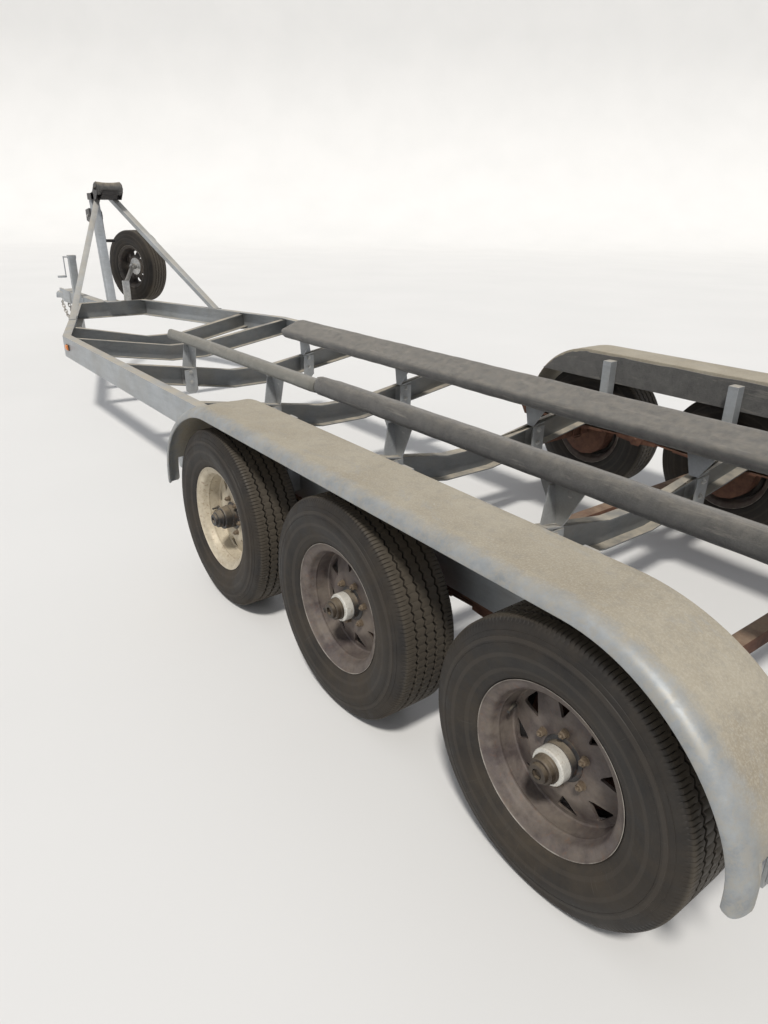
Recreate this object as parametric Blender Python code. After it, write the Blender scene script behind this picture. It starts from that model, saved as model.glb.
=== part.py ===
# Triple axle boat trailer: a galvanised channel frame on six road wheels, parked on its tongue jack.
# Metres. X points forward to the coupler, Y to the left, Z up. Drawing places are given from the rear axle
# (x = 0), the middle of the trailer (y = 0) and the ground (z = 0). X_MID moves them to its half length.
import math

import bmesh
import bpy
from mathutils import Matrix, Vector

for old_object in list(bpy.data.objects):
    bpy.data.objects.remove(old_object, do_unlink=True)

# Fits
GAP = 0.0003              # between pieces that touch
OVERLAP = 0.002           # how far welded pieces reach into each other
RUN_CLEARANCE = 0.0007    # between a turning or sliding piece and what it runs on

# Running gear
AXLE_PITCH = 0.847
TYRE_RADIUS = 0.3595
TYRE_WIDTH = 0.223
TREAD_WIDTH = 0.168
RIM_WIDTH = 0.175         # over both flanges
SEAT_RADIUS = 0.193       # where the tyre bead sits
FLANGE_RISE = 0.0176      # rim flange over the bead seat
FLANGE_RUN = 0.014        # edge of the rim in to the bead seat
FLANGE_THICK = 0.005
WELL_DEPTH = 0.009        # inside of the rim under the bead seat, at its edges
DISC_DEPTH = 0.025        # the same where the disc meets the rim
DISC_FLAT = 0.088         # edge of the disc's flat middle, under the bead seat
DISC_OUT = 0.022          # outer face of that flat middle from the wheel's middle plane
DISC_THICK = 0.008
WINDOW_APEX = 0.081       # inner corner of a window, under the bead seat
WINDOW_BASE = 0.043       # outer edge of a window, under the bead seat
WINDOW_HALF = 0.026
WHEEL_Y = 1.1485          # middle plane of the road wheels
SPINDLE_RADIUS = 0.020
AXLE_SIZE = 0.050
HUB_RADIUS = 0.047
HUB_REACH = 0.076         # outer end of the hub from the wheel's middle plane
HUB_BACK = 0.029          # inner end of the hub from that plane
CAP_RADIUS = 0.036
CAP_REACH = 0.110         # outer end of the hub cap from that plane
SPINDLE_REACH = 0.040     # outer end of the spindle from that plane
SPINDLE_ROOM = 0.008      # past the spindle's end, inside the hub
WHEEL_SEGMENTS = 24
WINDOW_COUNT = 8
WINDOW_TURN = 0.5         # turn of the windows against the facets of the disc, as a share of their pitch
DRUM_CLEARANCE = 0.032    # round the brake drum, inside the rim
DRUM_FACE = 0.035         # outer face of the drum behind the wheel's middle plane
DRUM_BACK = 0.120

# Leaf springs
SPRING_HALF = 0.320       # half length of the longest leaf
SPRING_HALF_WIDTH = 0.022
EYE_RISE = 0.034          # spring eyes over the seat on the axle
STRIP_HALF = 0.028        # half width of the strip that carries the hangers
STRIP_THICK = 0.008
HANGER_ROOT = 0.055       # half length of a hanger at the strip
HANGER_FOOT = 0.022       # and at its pin
ROCKER_HALF = 0.0225

# Frame
RAIL_Y = 0.954            # outer face of the side rails
RAIL_RISE = 0.2355        # top of the rails over the wheel axes
RAIL_HEIGHT = 0.152
RAIL_FLANGE = 0.060
PLATE = 0.006             # web and flange thickness
REAR_END = -1.70          # rear end of the rails
BEND_X = 5.01             # where the rails turn inward
NOSE_FRAME_X = 6.934      # front face of the front crossmember
NOSE_HALF = 0.347         # half width of the frame at its front
CROSS_HEIGHT = 0.125
CROSS_FLANGE = 0.050
CROSS_DIP = 0.138         # top of the crossmembers in the middle, under the top of the rails
DIP_HALF = 0.150          # half length of their level middle stretch

# Bunks
BUNK_Y = 0.460            # bunk posts, from the middle
BUNK_RISE = 0.067         # underside of the bunk at its posts, over the top of the rails
BUNK_SLOPE = math.radians(20.0)
BUNK_WIDTH = 0.200
BUNK_OUTBOARD = 0.020     # bunk edge beyond the post
BUNK_REAR = -1.62
POST_WIDTH = 0.084
POST_DROP = 0.040         # post plate below the crossmember
POST_CROWN = 0.032        # width of the upper plate under the bunk
POST_SETBACK = 0.012      # upper plate behind the face of the crossmember
GUSSET_ROOT = 0.036       # length of the folded gusset on the crossmember
GUSSET_FORE = 0.060       # its reach forward and rearward under the bunk
GUSSET_AFT = 0.130

# Fenders
FENDER_OUT = 1.290
FENDER_IN = 0.975
FENDER_ROOM = 0.086       # between the tyres and the top of the fender
FENDER_DROP = 0.375       # tips below that top
FENDER_REAR_RUN = 0.1055  # rear tip behind the rear tyre
FENDER_FRONT_RUN = 0.0555 # front tip ahead of the front tyre
FENDER_REAR_CURVE = 0.452 # length of the curve down to the rear tip
FENDER_FRONT_CURVE = 0.402
TIP_PINCH = 0.030         # how much narrower the fender is at its tips
TIP_WIDTH = 0.075         # width of the tongue that hangs down at each tip
TIP_STEP = 0.075          # how far it hangs below the rest of the sheet
TIP_PLATE = 0.022         # thickness of the bracket beside it
FENDER_SHEET = 0.004
SHOULDER = 0.055          # radius of the outer shoulder
SKIRT_HEIGHT = 0.150
FENDER_POST_WIDTH = 0.050
FENDER_POST_SPREAD = 0.700 # outer posts from the middle one
FENDER_POST_INSET = 0.030 # ends of a post from the rail's underside and the fender's top

# Tongue, coupler and jack
TONGUE_WIDTH = 0.100
TONGUE_HEIGHT = 0.120
TONGUE_DROP = 0.035       # top of the tongue under the top of the rails
TONGUE_REACH = 1.366      # front end of the tongue ahead of the front crossmember
COUPLER_REACH = 0.650     # middle of the ball socket ahead of the tongue
COUPLER_DROP = 0.090      # the same under the top of the tongue
COUPLER_RADIUS = 0.048
JACK_BACK = 0.500         # behind the front end of the tongue
JACK_Y = 0.098
JACK_TUBE = 0.070
JACK_WALL = 0.005
JACK_RISE = 0.405         # top of the jack's tube over the tongue
JACK_TRAVEL = 0.300
JACK_FOOT_RADIUS = 0.085
JACK_FOOT_THICK = 0.008

# Winch stand
POST_INSET = 0.004        # front face of the winch post behind that of the front crossmember
WINCH_POST_SIZE = 0.076
WINCH_POST_HEIGHT = 0.950
WINCH_POST_LEAN = 0.140   # top of the post ahead of its foot
WINCH_RISE = 0.805        # drum of the winch over the rails
ARM_REACH = 0.412         # rear end of the bow arm behind the top of the post
ARM_WIDTH = 0.100
ARM_HEIGHT = 0.060
HEAD_LENGTH = 0.100       # length of the cross block at the arm's rear end
BRACE_SPREAD = 1.069      # foot of a brace behind the front crossmember
BRACE_SIZE = 0.050
BRACE_TOP_Y = 0.075       # top of a brace from the middle
FOOT_PLATE_HALF = 0.060   # half length of the plate under a brace
ROLLER_RADIUS = 0.045
ROLLER_LENGTH = 0.300
ROLLER_PIN = 0.008        # radius of its pin
ROLLER_BACK = 0.080       # roller centre behind the arm's rear end
ROLLER_RISE = 0.050       # roller centre over the arm's top

# Spare wheel
SPARE_AHEAD = 0.286       # middle of the spare ahead of the front crossmember
SPARE_Y = -0.418
SPARE_RISE = 0.308        # middle of the spare over the rails
SPARE_YAW = math.radians(18.5)
CARRIER_Y = -0.170
CARRIER_HEIGHT = 0.195
CARRIER_PLATE = 0.085     # radius of the plate that clamps the spare

# Lamps and chains
LAMP_LENGTH = 0.070
LAMP_HEIGHT = 0.045
LAMP_DEPTH = 0.018
CHAIN_WIRE = 0.0055       # radius of the link's wire
CHAIN_LINK = 0.066        # length of a link
CHAIN_WIDTH = 0.040
CHAIN_LINKS = 17
LINK_CORNERS = 8
LINK_PRESS = 0.0012       # how far neighbouring links press into each other
CHAIN_BOLT = 0.0065
CHAIN_DROP = 0.155        # bolts of the chains under the top of the tongue
CHAIN_Y = 0.034
CHAIN_REAR_BACK = 0.120   # rear bolts behind the front end of the tongue
CHAIN_FRONT_BACK = 0.170  # front bolts behind the ball socket

# Sizes that follow from the ones above
RIM_RADIUS = SEAT_RADIUS + FLANGE_RISE
DRUM_RADIUS = SEAT_RADIUS - WELL_DEPTH - DRUM_CLEARANCE
RAIL_TOP = TYRE_RADIUS + RAIL_RISE
CROSS_END_TOP = RAIL_TOP - PLATE - GAP
CROSS_DIP_TOP = RAIL_TOP - CROSS_DIP
BUNK_SEAT = RAIL_TOP + BUNK_RISE
FENDER_TOP = 2.0 * TYRE_RADIUS + FENDER_ROOM
FENDER_TIP_Z = FENDER_TOP - FENDER_DROP
SKIRT_BOTTOM = FENDER_TOP - SKIRT_HEIGHT
FRONT_AXLE_X = 2.0 * AXLE_PITCH
FENDER_REAR_X = -TYRE_RADIUS - FENDER_REAR_RUN
FENDER_FRONT_X = FRONT_AXLE_X + TYRE_RADIUS + FENDER_FRONT_RUN
TONGUE_TOP = RAIL_TOP - TONGUE_DROP
TONGUE_LOW = TONGUE_TOP - TONGUE_HEIGHT
TONGUE_FRONT = NOSE_FRAME_X + TONGUE_REACH
COUPLER_X = TONGUE_FRONT + COUPLER_REACH
COUPLER_Z = TONGUE_TOP - COUPLER_DROP
JACK_X = TONGUE_FRONT - JACK_BACK
JACK_TOP = TONGUE_TOP + JACK_RISE
POST_X = NOSE_FRAME_X - POST_INSET
WINCH_POST_TOP = RAIL_TOP + WINCH_POST_HEIGHT
WINCH_Z = RAIL_TOP + WINCH_RISE
BRACE_FOOT_X = NOSE_FRAME_X - BRACE_SPREAD
SPARE_X = NOSE_FRAME_X + SPARE_AHEAD
SPARE_Z = RAIL_TOP + SPARE_RISE
CARRIER_TOP = RAIL_TOP + CARRIER_HEIGHT
CHAIN_BOLT_Z = TONGUE_TOP - CHAIN_DROP
CHAIN_REAR_X = TONGUE_FRONT - CHAIN_REAR_BACK
CHAIN_FRONT_X = COUPLER_X - CHAIN_FRONT_BACK
X_NOSE = COUPLER_X + COUPLER_RADIUS + PLATE
X_MID = (REAR_END + X_NOSE) / 2.0

AXLES = {"rear": 0.0, "middle": AXLE_PITCH, "front": FRONT_AXLE_X}
SIDES = {"left": 1.0, "right": -1.0}

# Crossmembers that dip in the middle: name, what its place is counted from, place of the web's front face
# ahead of that, whether it carries bunk posts
CROSSMEMBERS = (
    ("crossmember_bow", BEND_X, 0.510, False),
    ("crossmember_bend", BEND_X, -0.020, False),
    ("crossmember_1", FRONT_AXLE_X, 2.156, True),
    ("crossmember_2", FRONT_AXLE_X, 0.996, True),
    ("crossmember_3", FRONT_AXLE_X, -0.094, True),
    ("crossmember_4", AXLE_PITCH, -0.147, True),
    ("crossmember_5", FENDER_REAR_X, 0.065, True),
    ("crossmember_rear", REAR_END, 0.150, True),
)

# Bunks: name, side, rear end, front end ahead of the front axle, thickness
BUNKS = (
    ("bunk_left_front", 1.0, FRONT_AXLE_X + 0.466, 2.356, 0.062),
    ("bunk_left_rear", 1.0, BUNK_REAR, 0.461, 0.088),
    ("bunk_right", -1.0, BUNK_REAR, 2.256, 0.062),
)

MATERIALS = {
    "galvanised": ((0.46, 0.49, 0.52), 0.55, 0.6),
    "dusty_steel": ((0.50, 0.44, 0.35), 0.8, 0.2),
    "carpet": ((0.07, 0.07, 0.065), 0.95, 0.0),
    "tyre_rubber": ((0.045, 0.042, 0.038), 0.85, 0.0),
    "wheel_paint": ((0.24, 0.20, 0.19), 0.6, 0.3),
    "wheel_cream": ((0.62, 0.58, 0.49), 0.6, 0.1),
    "rusty_steel": ((0.16, 0.08, 0.05), 0.85, 0.2),
    "black_steel": ((0.04, 0.04, 0.045), 0.5, 0.4),
    "zinc": ((0.60, 0.60, 0.58), 0.45, 0.8),
    "roller_rubber": ((0.10, 0.10, 0.10), 0.8, 0.0),
    "amber_lens": ((0.80, 0.22, 0.03), 0.3, 0.0),
    "red_lens": ((0.55, 0.02, 0.02), 0.3, 0.0),
}


def material(name):
    """The named material, made on its first use."""
    if name in bpy.data.materials:
        return bpy.data.materials[name]
    colour, roughness, metallic = MATERIALS[name]
    made = bpy.data.materials.new(name)
    made.use_nodes = True
    shader = made.node_tree.nodes["Principled BSDF"]
    shader.inputs["Base Color"].default_value = (*colour, 1.0)
    shader.inputs["Roughness"].default_value = roughness
    shader.inputs["Metallic"].default_value = metallic
    return made


def finish_mesh(name, mesh):
    """Face a closed bmesh outward and turn it into mesh data."""
    bmesh.ops.recalc_face_normals(mesh, faces=mesh.faces)
    if mesh.calc_volume(signed=True) < 0.0:
        bmesh.ops.reverse_faces(mesh, faces=mesh.faces)
    data = bpy.data.meshes.new(name)
    mesh.to_mesh(data)
    mesh.free()
    return data


def add_node(name, mesh, finish, origin=(0.0, 0.0, 0.0), smooth=False):
    """One sub-part. The mesh is drawn round its own origin, which stands at a drawing place."""
    data = finish_mesh(name, mesh)
    data.materials.append(material(finish))
    if smooth:
        data.shade_smooth()
        data.set_sharp_from_angle(angle=math.radians(35.0))
    node = bpy.data.objects.new(name, data)
    node.location = (origin[0] - X_MID, origin[1], origin[2])
    bpy.context.scene.collection.objects.link(node)
    return node


def combine(node, mesh, operation, solver="EXACT"):
    """Join a closed bmesh, drawn round the node's origin, to a node, or cut it out."""
    data = finish_mesh(node.name + "_tool", mesh)
    tool = bpy.data.objects.new(node.name + "_tool", data)
    tool.location = node.location
    tool.rotation_euler = node.rotation_euler
    tool.hide_render = True
    tool.display_type = "WIRE"
    bpy.context.scene.collection.objects.link(tool)
    step = node.modifiers.new(operation.lower(), "BOOLEAN")
    step.operation = operation
    step.solver = solver
    step.object = tool


def weld(node, mesh):
    combine(node, mesh, "UNION")


def cut(node, mesh):
    combine(node, mesh, "DIFFERENCE")


def block(low, high):
    """A box between two corners."""
    mesh = bmesh.new()
    bmesh.ops.create_cube(mesh, size=1.0)
    for vert in mesh.verts:
        for axis in range(3):
            vert.co[axis] = low[axis] if vert.co[axis] < 0.0 else high[axis]
    return mesh


def prism(outline, normal, start, end):
    """A flat outline extruded along an axis. Outline points leave that axis out, in the order x, y, z."""
    mesh = bmesh.new()
    keep = [axis for axis in range(3) if axis != normal]
    rings = []
    for depth in (start, end):
        ring = []
        for point in outline:
            place = [0.0, 0.0, 0.0]
            place[normal] = depth
            place[keep[0]], place[keep[1]] = point
            ring.append(mesh.verts.new(place))
        rings.append(ring)
    close_rings(mesh, rings)
    return mesh


def close_rings(mesh, rings):
    """Skin rings of equal length into one closed body with flat ends."""
    count = len(rings[0])
    for first, second in zip(rings, rings[1:]):
        for index in range(count):
            after = (index + 1) % count
            mesh.faces.new((first[index], first[after], second[after], second[index]))
    mesh.faces.new(rings[0])
    mesh.faces.new(list(reversed(rings[-1])))


def loft(sections):
    """A closed body through sections given as lists of points."""
    mesh = bmesh.new()
    close_rings(mesh, [[mesh.verts.new(point) for point in section] for section in sections])
    return mesh


def turn(profile, segments, axis=1, centre=(0.0, 0.0, 0.0)):
    """A body turned round an axis. The profile holds (radius, place along the axis); radius 0 closes it."""
    mesh = bmesh.new()
    across = [index for index in range(3) if index != axis]
    rings = []
    for radius, along in profile:
        count = 1 if radius == 0.0 else segments
        ring = []
        for index in range(count):
            angle = math.tau * index / segments
            place = list(centre)
            place[axis] += along
            place[across[0]] += radius * math.cos(angle)
            place[across[1]] += radius * math.sin(angle)
            ring.append(mesh.verts.new(place))
        rings.append(ring)
    on_axis = profile[0][0] == 0.0
    pairs = list(zip(rings, rings[1:]))
    if not on_axis:
        pairs.append((rings[-1], rings[0]))
    for first, second in pairs:
        for index in range(segments):
            after = (index + 1) % segments
            corners = []
            for ring, place in ((first, index), (first, after), (second, after), (second, index)):
                vert = ring[place % len(ring)]
                if vert not in corners:
                    corners.append(vert)
            mesh.faces.new(corners)
    return mesh


def rod(start, end, radius, segments=10):
    """A round bar between two points."""
    mesh = bmesh.new()
    run = Vector(end) - Vector(start)
    bmesh.ops.create_cone(mesh, cap_ends=True, segments=segments, radius1=radius, radius2=radius,
                          depth=run.length)
    turned = run.to_track_quat("Z", "Y").to_matrix().to_4x4()
    bmesh.ops.transform(mesh, matrix=Matrix.Translation((Vector(start) + Vector(end)) / 2.0) @ turned,
                        verts=mesh.verts)
    return mesh


def channel_outline(height, flange):
    """A channel section: (distance from the back of the web, height)."""
    return (
        (0.0, 0.0), (flange, 0.0), (flange, PLATE), (PLATE, PLATE),
        (PLATE, height - PLATE), (flange, height - PLATE), (flange, height), (0.0, height),
    )


TAPER = math.atan2(RAIL_Y - NOSE_HALF, NOSE_FRAME_X - BEND_X)


def rail_outer(x):
    """Half width over the rails at a place along the trailer."""
    return RAIL_Y - max(0.0, x - BEND_X) * math.tan(TAPER)


def rail_inner_web(x):
    """Half width between the webs of the rails."""
    thickness = PLATE if x <= BEND_X else PLATE / math.cos(TAPER)
    return rail_outer(x) - thickness


def build_rail(side_name, side):
    """A side rail: straight to the bend, then drawn in towards the tongue."""
    front = NOSE_FRAME_X - CROSS_FLANGE - GAP
    stations = (
        (REAR_END, 1.0, 0.0),
        (BEND_X, 1.0, math.tan(TAPER / 2.0)),
        (front, 1.0 / math.cos(TAPER), 0.0),
    )
    sections = []
    for x, spread, lag in stations:
        section = []
        for inward, up in channel_outline(RAIL_HEIGHT, RAIL_FLANGE):
            half = rail_outer(x) - inward * spread
            section.append((x - inward * lag, side * half, RAIL_TOP - RAIL_HEIGHT + up))
        sections.append(section)
    return add_node("rail_" + side_name, loft(sections), "galvanised")


def bunk_underside(distance):
    """Height of the bunk's underside at a distance from the middle."""
    return BUNK_SEAT - (BUNK_Y - distance) * math.tan(BUNK_SLOPE)


def dip_top(distance, x):
    """Top of a dipped crossmember at a distance from the middle."""
    end = rail_inner_web(x)
    if distance <= DIP_HALF:
        return CROSS_DIP_TOP
    return CROSS_DIP_TOP + (CROSS_END_TOP - CROSS_DIP_TOP) * (distance - DIP_HALF) / (end - DIP_HALF)


def bunk_post(node, x, side):
    """A plate across the mouth of the channel, and over it a tapered plate and gusset for the bunk."""
    outer = BUNK_Y + POST_WIDTH / 2.0
    inner = BUNK_Y - POST_WIDTH / 2.0
    knee = dip_top(inner, x)
    foot = knee - CROSS_HEIGHT - POST_DROP
    mouth = x - CROSS_FLANGE - PLATE + OVERLAP
    lower = (
        (side * outer, knee - PLATE), (side * inner, knee - PLATE), (side * inner, foot + 0.02),
        (side * (inner + 0.02), foot), (side * (outer - 0.02), foot), (side * outer, foot + 0.02),
    )
    weld(node, prism(lower, 0, mouth, mouth + PLATE))
    root = knee - OVERLAP
    crown_inner = BUNK_Y - POST_CROWN / 2.0
    crown = bunk_underside(crown_inner) - GAP
    stand = x - POST_SETBACK
    upper = (
        (side * outer, root), (side * inner, root), (side * crown_inner, crown),
        (side * (BUNK_Y + POST_CROWN / 2.0), crown),
    )
    weld(node, prism(upper, 0, stand - PLATE, stand))
    gusset = []
    for thick in (0.0, PLATE):
        gusset.append([
            (stand - GUSSET_ROOT, side * (inner + thick), root), (stand, side * (inner + thick), root),
            (stand + GUSSET_FORE, side * (crown_inner + thick), crown),
            (stand - GUSSET_AFT, side * (crown_inner + thick), crown),
        ])
    weld(node, loft(gusset))


def build_crossmember(name, x, has_posts):
    """A channel across the frame, open to the rear, that dips in the middle to clear the keel."""
    outline = [(x - distance, up - CROSS_HEIGHT)
               for distance, up in channel_outline(CROSS_HEIGHT, CROSS_FLANGE)]
    sections = []
    for side, at_end in ((-1.0, True), (-1.0, False), (1.0, False), (1.0, True)):
        section = []
        for place, up in outline:
            y = rail_inner_web(place) - GAP if at_end else DIP_HALF
            top = CROSS_END_TOP if at_end else CROSS_DIP_TOP
            section.append((place, side * y, top + up))
        sections.append(section)
    node = add_node(name, loft(sections), "galvanised")
    if has_posts:
        for side in SIDES.values():
            bunk_post(node, x, side)
    return node


def build_front_crossmember():
    """The level channel that closes the front of the frame."""
    outline = [(NOSE_FRAME_X - distance, RAIL_TOP - RAIL_HEIGHT + up)
               for distance, up in channel_outline(RAIL_HEIGHT, CROSS_FLANGE)]
    half = rail_outer(NOSE_FRAME_X - CROSS_FLANGE)
    sections = [[(place, side * half, up) for place, up in outline] for side in (-1.0, 1.0)]
    return add_node("crossmember_front", loft(sections), "galvanised")


def build_bunk(name, side, rear, front, thick):
    """A carpeted plank, tilted to the hull, with rounded long edges."""
    slope = Vector((0.0, side * math.cos(BUNK_SLOPE), math.sin(BUNK_SLOPE)))
    normal = Vector((0.0, -side * math.sin(BUNK_SLOPE), math.cos(BUNK_SLOPE)))
    outer = Vector((0.0, side * BUNK_Y, BUNK_SEAT)) + slope * (POST_WIDTH / 2.0 + BUNK_OUTBOARD)
    round_edge = thick * 0.3
    profile = []
    corners = ((0.0, 0.0, 180.0), (BUNK_WIDTH, 0.0, 270.0), (BUNK_WIDTH, thick, 0.0), (0.0, thick, 90.0))
    for across, up, start in corners:
        centre_across = min(max(across, round_edge), BUNK_WIDTH - round_edge)
        centre_up = min(max(up, round_edge), thick - round_edge)
        for step in range(3):
            angle = math.radians(start + 45.0 * step)
            profile.append((centre_across + round_edge * math.cos(angle),
                            centre_up + round_edge * math.sin(angle)))
    sections = []
    for x in (rear, FRONT_AXLE_X + front):
        corner = Vector((x, 0.0, 0.0)) + outer
        sections.append([corner - slope * across + normal * up for across, up in profile])
    return add_node(name, loft(sections), "carpet", smooth=True)


def fender_tips():
    """The rear and front tip: place, length of the curve down to it, direction towards the middle."""
    return ((FENDER_REAR_X, FENDER_REAR_CURVE, 1.0), (FENDER_FRONT_X, FENDER_FRONT_CURVE, -1.0))


def fender_path():
    """Stations along the fender's top line, rear to front: x, z, direction outward."""
    stations = []
    steps = 6
    drop = FENDER_TOP - FENDER_TIP_Z
    for tip, reach, inward in fender_tips():
        curve = []
        for step in range(steps + 1):
            angle = math.radians(90.0) * step / steps
            x = tip + inward * reach * (1.0 - math.cos(angle))
            out = Vector((-inward * math.cos(angle) / reach, 0.0, math.sin(angle) / drop)).normalized()
            curve.append((x, FENDER_TIP_Z + drop * math.sin(angle), out))
        stations += curve if inward > 0.0 else curve[::-1]
    return stations


def fender_section(outer_y):
    """Sheet section from the fender's inner edge over the rounded shoulder: (y, depth below the top)."""
    top = [(FENDER_IN, 0.0)]
    steps = 4
    for step in range(steps + 1):
        angle = math.radians(90.0) * step / steps
        top.append((outer_y - SHOULDER + SHOULDER * math.sin(angle), SHOULDER * (1.0 - math.cos(angle))))
    inner = SHOULDER - FENDER_SHEET
    under = []
    for step in range(steps + 1):
        angle = math.radians(90.0) * (steps - step) / steps
        under.append((outer_y - SHOULDER + inner * math.sin(angle), SHOULDER - inner * math.cos(angle)))
    under.append((FENDER_IN, FENDER_SHEET))
    return top + under


def build_fender(side_name, side):
    """A long sheet fender over three wheels, with an inner skirt, posts to the rail and tip brackets."""
    stations = fender_path()
    sections = []
    last = len(stations) - 1
    for index, (x, z, out) in enumerate(stations):
        pinch = {0: 1.0, 1: 0.25}.get(min(index, last - index), 0.0) * TIP_PINCH
        section = []
        for y, depth in fender_section(FENDER_OUT - pinch):
            place = Vector((x, 0.0, z)) - out * depth
            section.append((place.x, side * y, place.z))
        sections.append(section)
    node = add_node("fender_" + side_name, loft(sections), "dusty_steel", smooth=True)
    skirt = [(x, z - 0.002) for x, z, out in stations if z > SKIRT_BOTTOM + 0.02]
    skirt.append((skirt[-1][0], SKIRT_BOTTOM))
    skirt.append((skirt[0][0], SKIRT_BOTTOM))
    weld(node, prism(skirt, 1, side * (FENDER_IN - OVERLAP), side * (FENDER_IN + FENDER_SHEET)))
    for offset in (-FENDER_POST_SPREAD, 0.0, FENDER_POST_SPREAD):
        start = AXLE_PITCH + offset - FENDER_POST_WIDTH / 2.0
        low = (start, side * (RAIL_Y + GAP), RAIL_TOP - RAIL_HEIGHT + FENDER_POST_INSET)
        high = (start + FENDER_POST_WIDTH, side * FENDER_IN, FENDER_TOP - FENDER_POST_INSET)
        weld(node, block(low, high))
    for tip, _, inward in fender_tips():
        low_x, high_x = sorted((tip - inward * 0.02, tip + inward * 0.15))
        low_y, high_y = sorted((side * (FENDER_IN - 0.02), side * (FENDER_OUT - TIP_WIDTH)))
        cut(node, block((low_x, low_y, FENDER_TIP_Z - 0.02), (high_x, high_y, FENDER_TIP_Z + TIP_STEP)))
        low_x, high_x = sorted((tip + inward * 0.002, tip + inward * (0.002 + TIP_PLATE)))
        low_y, high_y = sorted((side * (RAIL_Y + GAP), side * (FENDER_OUT - TIP_WIDTH - 0.010)))
        bracket_top = FENDER_TIP_Z + TIP_STEP + 0.020
        weld(node, block((low_x, low_y, FENDER_TIP_Z - 0.015), (high_x, high_y, bracket_top)))
    return node


def tyre_mesh():
    """A road tyre, turned, with a square tread and bulging sides."""
    half_tread = TREAD_WIDTH / 2.0
    half_width = TYRE_WIDTH / 2.0
    bead = RIM_WIDTH / 2.0 - FLANGE_RUN - 2.0 * GAP
    mid = RIM_RADIUS + (TYRE_RADIUS - RIM_RADIUS) * 0.45
    profile = (
        (SEAT_RADIUS + GAP, -bead), (RIM_RADIUS + 0.004, -bead - 0.009), (mid, -half_width),
        (TYRE_RADIUS - 0.014, -half_tread - 0.012), (TYRE_RADIUS, -half_tread),
        (TYRE_RADIUS, half_tread), (TYRE_RADIUS - 0.014, half_tread + 0.012),
        (mid, half_width), (RIM_RADIUS + 0.004, bead + 0.009), (SEAT_RADIUS + GAP, bead),
    )
    return turn(profile, WHEEL_SEGMENTS)


def rim_profile(with_hub):
    """Pressed steel wheel section: (radius, distance outboard of the middle plane), as a closed round."""
    edge = RIM_WIDTH / 2.0
    flat = SEAT_RADIUS - DISC_FLAT
    disc = SEAT_RADIUS - DISC_DEPTH
    well = SEAT_RADIUS - WELL_DEPTH
    rim = [
        (flat, DISC_OUT), (disc, 0.002), (well, edge - 0.016),
        (RIM_RADIUS, edge), (RIM_RADIUS, edge - FLANGE_THICK), (SEAT_RADIUS, edge - FLANGE_RUN),
        (SEAT_RADIUS, FLANGE_RUN - edge), (RIM_RADIUS, FLANGE_THICK - edge), (RIM_RADIUS, -edge),
        (well, 0.016 - edge), (disc, -0.007), (flat, DISC_OUT - DISC_THICK),
    ]
    if not with_hub:
        hole = HUB_RADIUS - 0.005
        return [(hole, DISC_OUT)] + rim + [(hole, DISC_OUT - DISC_THICK)]
    bore = SPINDLE_RADIUS + RUN_CLEARANCE
    bore_end = SPINDLE_REACH + SPINDLE_ROOM
    hub = [
        (0.0, CAP_REACH), (CAP_RADIUS, CAP_REACH - 0.002), (CAP_RADIUS, HUB_REACH + 0.002),
        (HUB_RADIUS, HUB_REACH), (HUB_RADIUS, DISC_OUT - 0.008),
    ]
    back = [
        (HUB_RADIUS, DISC_OUT - 0.018), (HUB_RADIUS, -HUB_BACK), (bore, -HUB_BACK),
        (bore, bore_end), (0.0, bore_end),
    ]
    return hub + rim + back


def wheel_windows():
    """Cutters for the triangular windows of the wheel disc."""
    mesh = bmesh.new()
    for index in range(WINDOW_COUNT):
        angle = math.tau * (index + WINDOW_TURN) / WINDOW_COUNT
        along = Vector((math.cos(angle), 0.0, math.sin(angle)))
        across = Vector((-math.sin(angle), 0.0, math.cos(angle)))
        apex = along * (SEAT_RADIUS - WINDOW_APEX)
        base = along * (SEAT_RADIUS - WINDOW_BASE)
        corners = [apex, base + across * WINDOW_HALF, base - across * WINDOW_HALF]
        rings = []
        for depth in (-0.03, 0.05):
            rings.append([mesh.verts.new(corner + Vector((0.0, depth, 0.0))) for corner in corners])
        close_rings(mesh, rings)
    return mesh


def facing(mesh, side):
    """A wheel piece, drawn with its outer face to the left, turned round for the right, on by half a facet."""
    if side < 0.0:
        turned = Matrix.Rotation(math.pi / WHEEL_SEGMENTS, 4, "Y") @ Matrix.Diagonal((1.0, -1.0, -1.0, 1.0))
        bmesh.ops.transform(mesh, matrix=turned, verts=mesh.verts)
    return mesh


def build_wheel(name, place, side, finish, with_hub, yaw=0.0):
    """A steel wheel with windows and its tyre, both round the same axis, with the outer face on one side."""
    ring = facing(turn(rim_profile(with_hub), WHEEL_SEGMENTS), side)
    rim = add_node(name + "_rim", ring, finish, place, smooth=True)
    rim.rotation_euler = (0.0, 0.0, yaw)
    # The exact solver turns this ring inside out, so the windows are cut with the other one.
    combine(rim, facing(wheel_windows(), side), "DIFFERENCE", "MANIFOLD")
    tyre = add_node(name + "_tyre", facing(tyre_mesh(), side), "tyre_rubber", place, smooth=True)
    tyre.rotation_euler = (0.0, 0.0, yaw)


def build_axle(name, x):
    """A square axle beam with a round spindle and a brake drum at each end."""
    centre = TYRE_RADIUS
    inner = WHEEL_Y - 0.090
    tip = WHEEL_Y + SPINDLE_REACH
    half = AXLE_SIZE / 2.0
    beam = block((x - half, -inner, centre - half), (x + half, inner, centre + half))
    node = add_node("axle_" + name, beam, "rusty_steel")
    for side in SIDES.values():
        weld(node, rod((x, side * (inner - 0.02), centre), (x, side * tip, centre), SPINDLE_RADIUS, 12))
        back = (x, side * (WHEEL_Y - DRUM_BACK), centre)
        face = (x, side * (WHEEL_Y - DRUM_FACE), centre)
        weld(node, rod(back, face, DRUM_RADIUS, 16))
    return node


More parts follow.
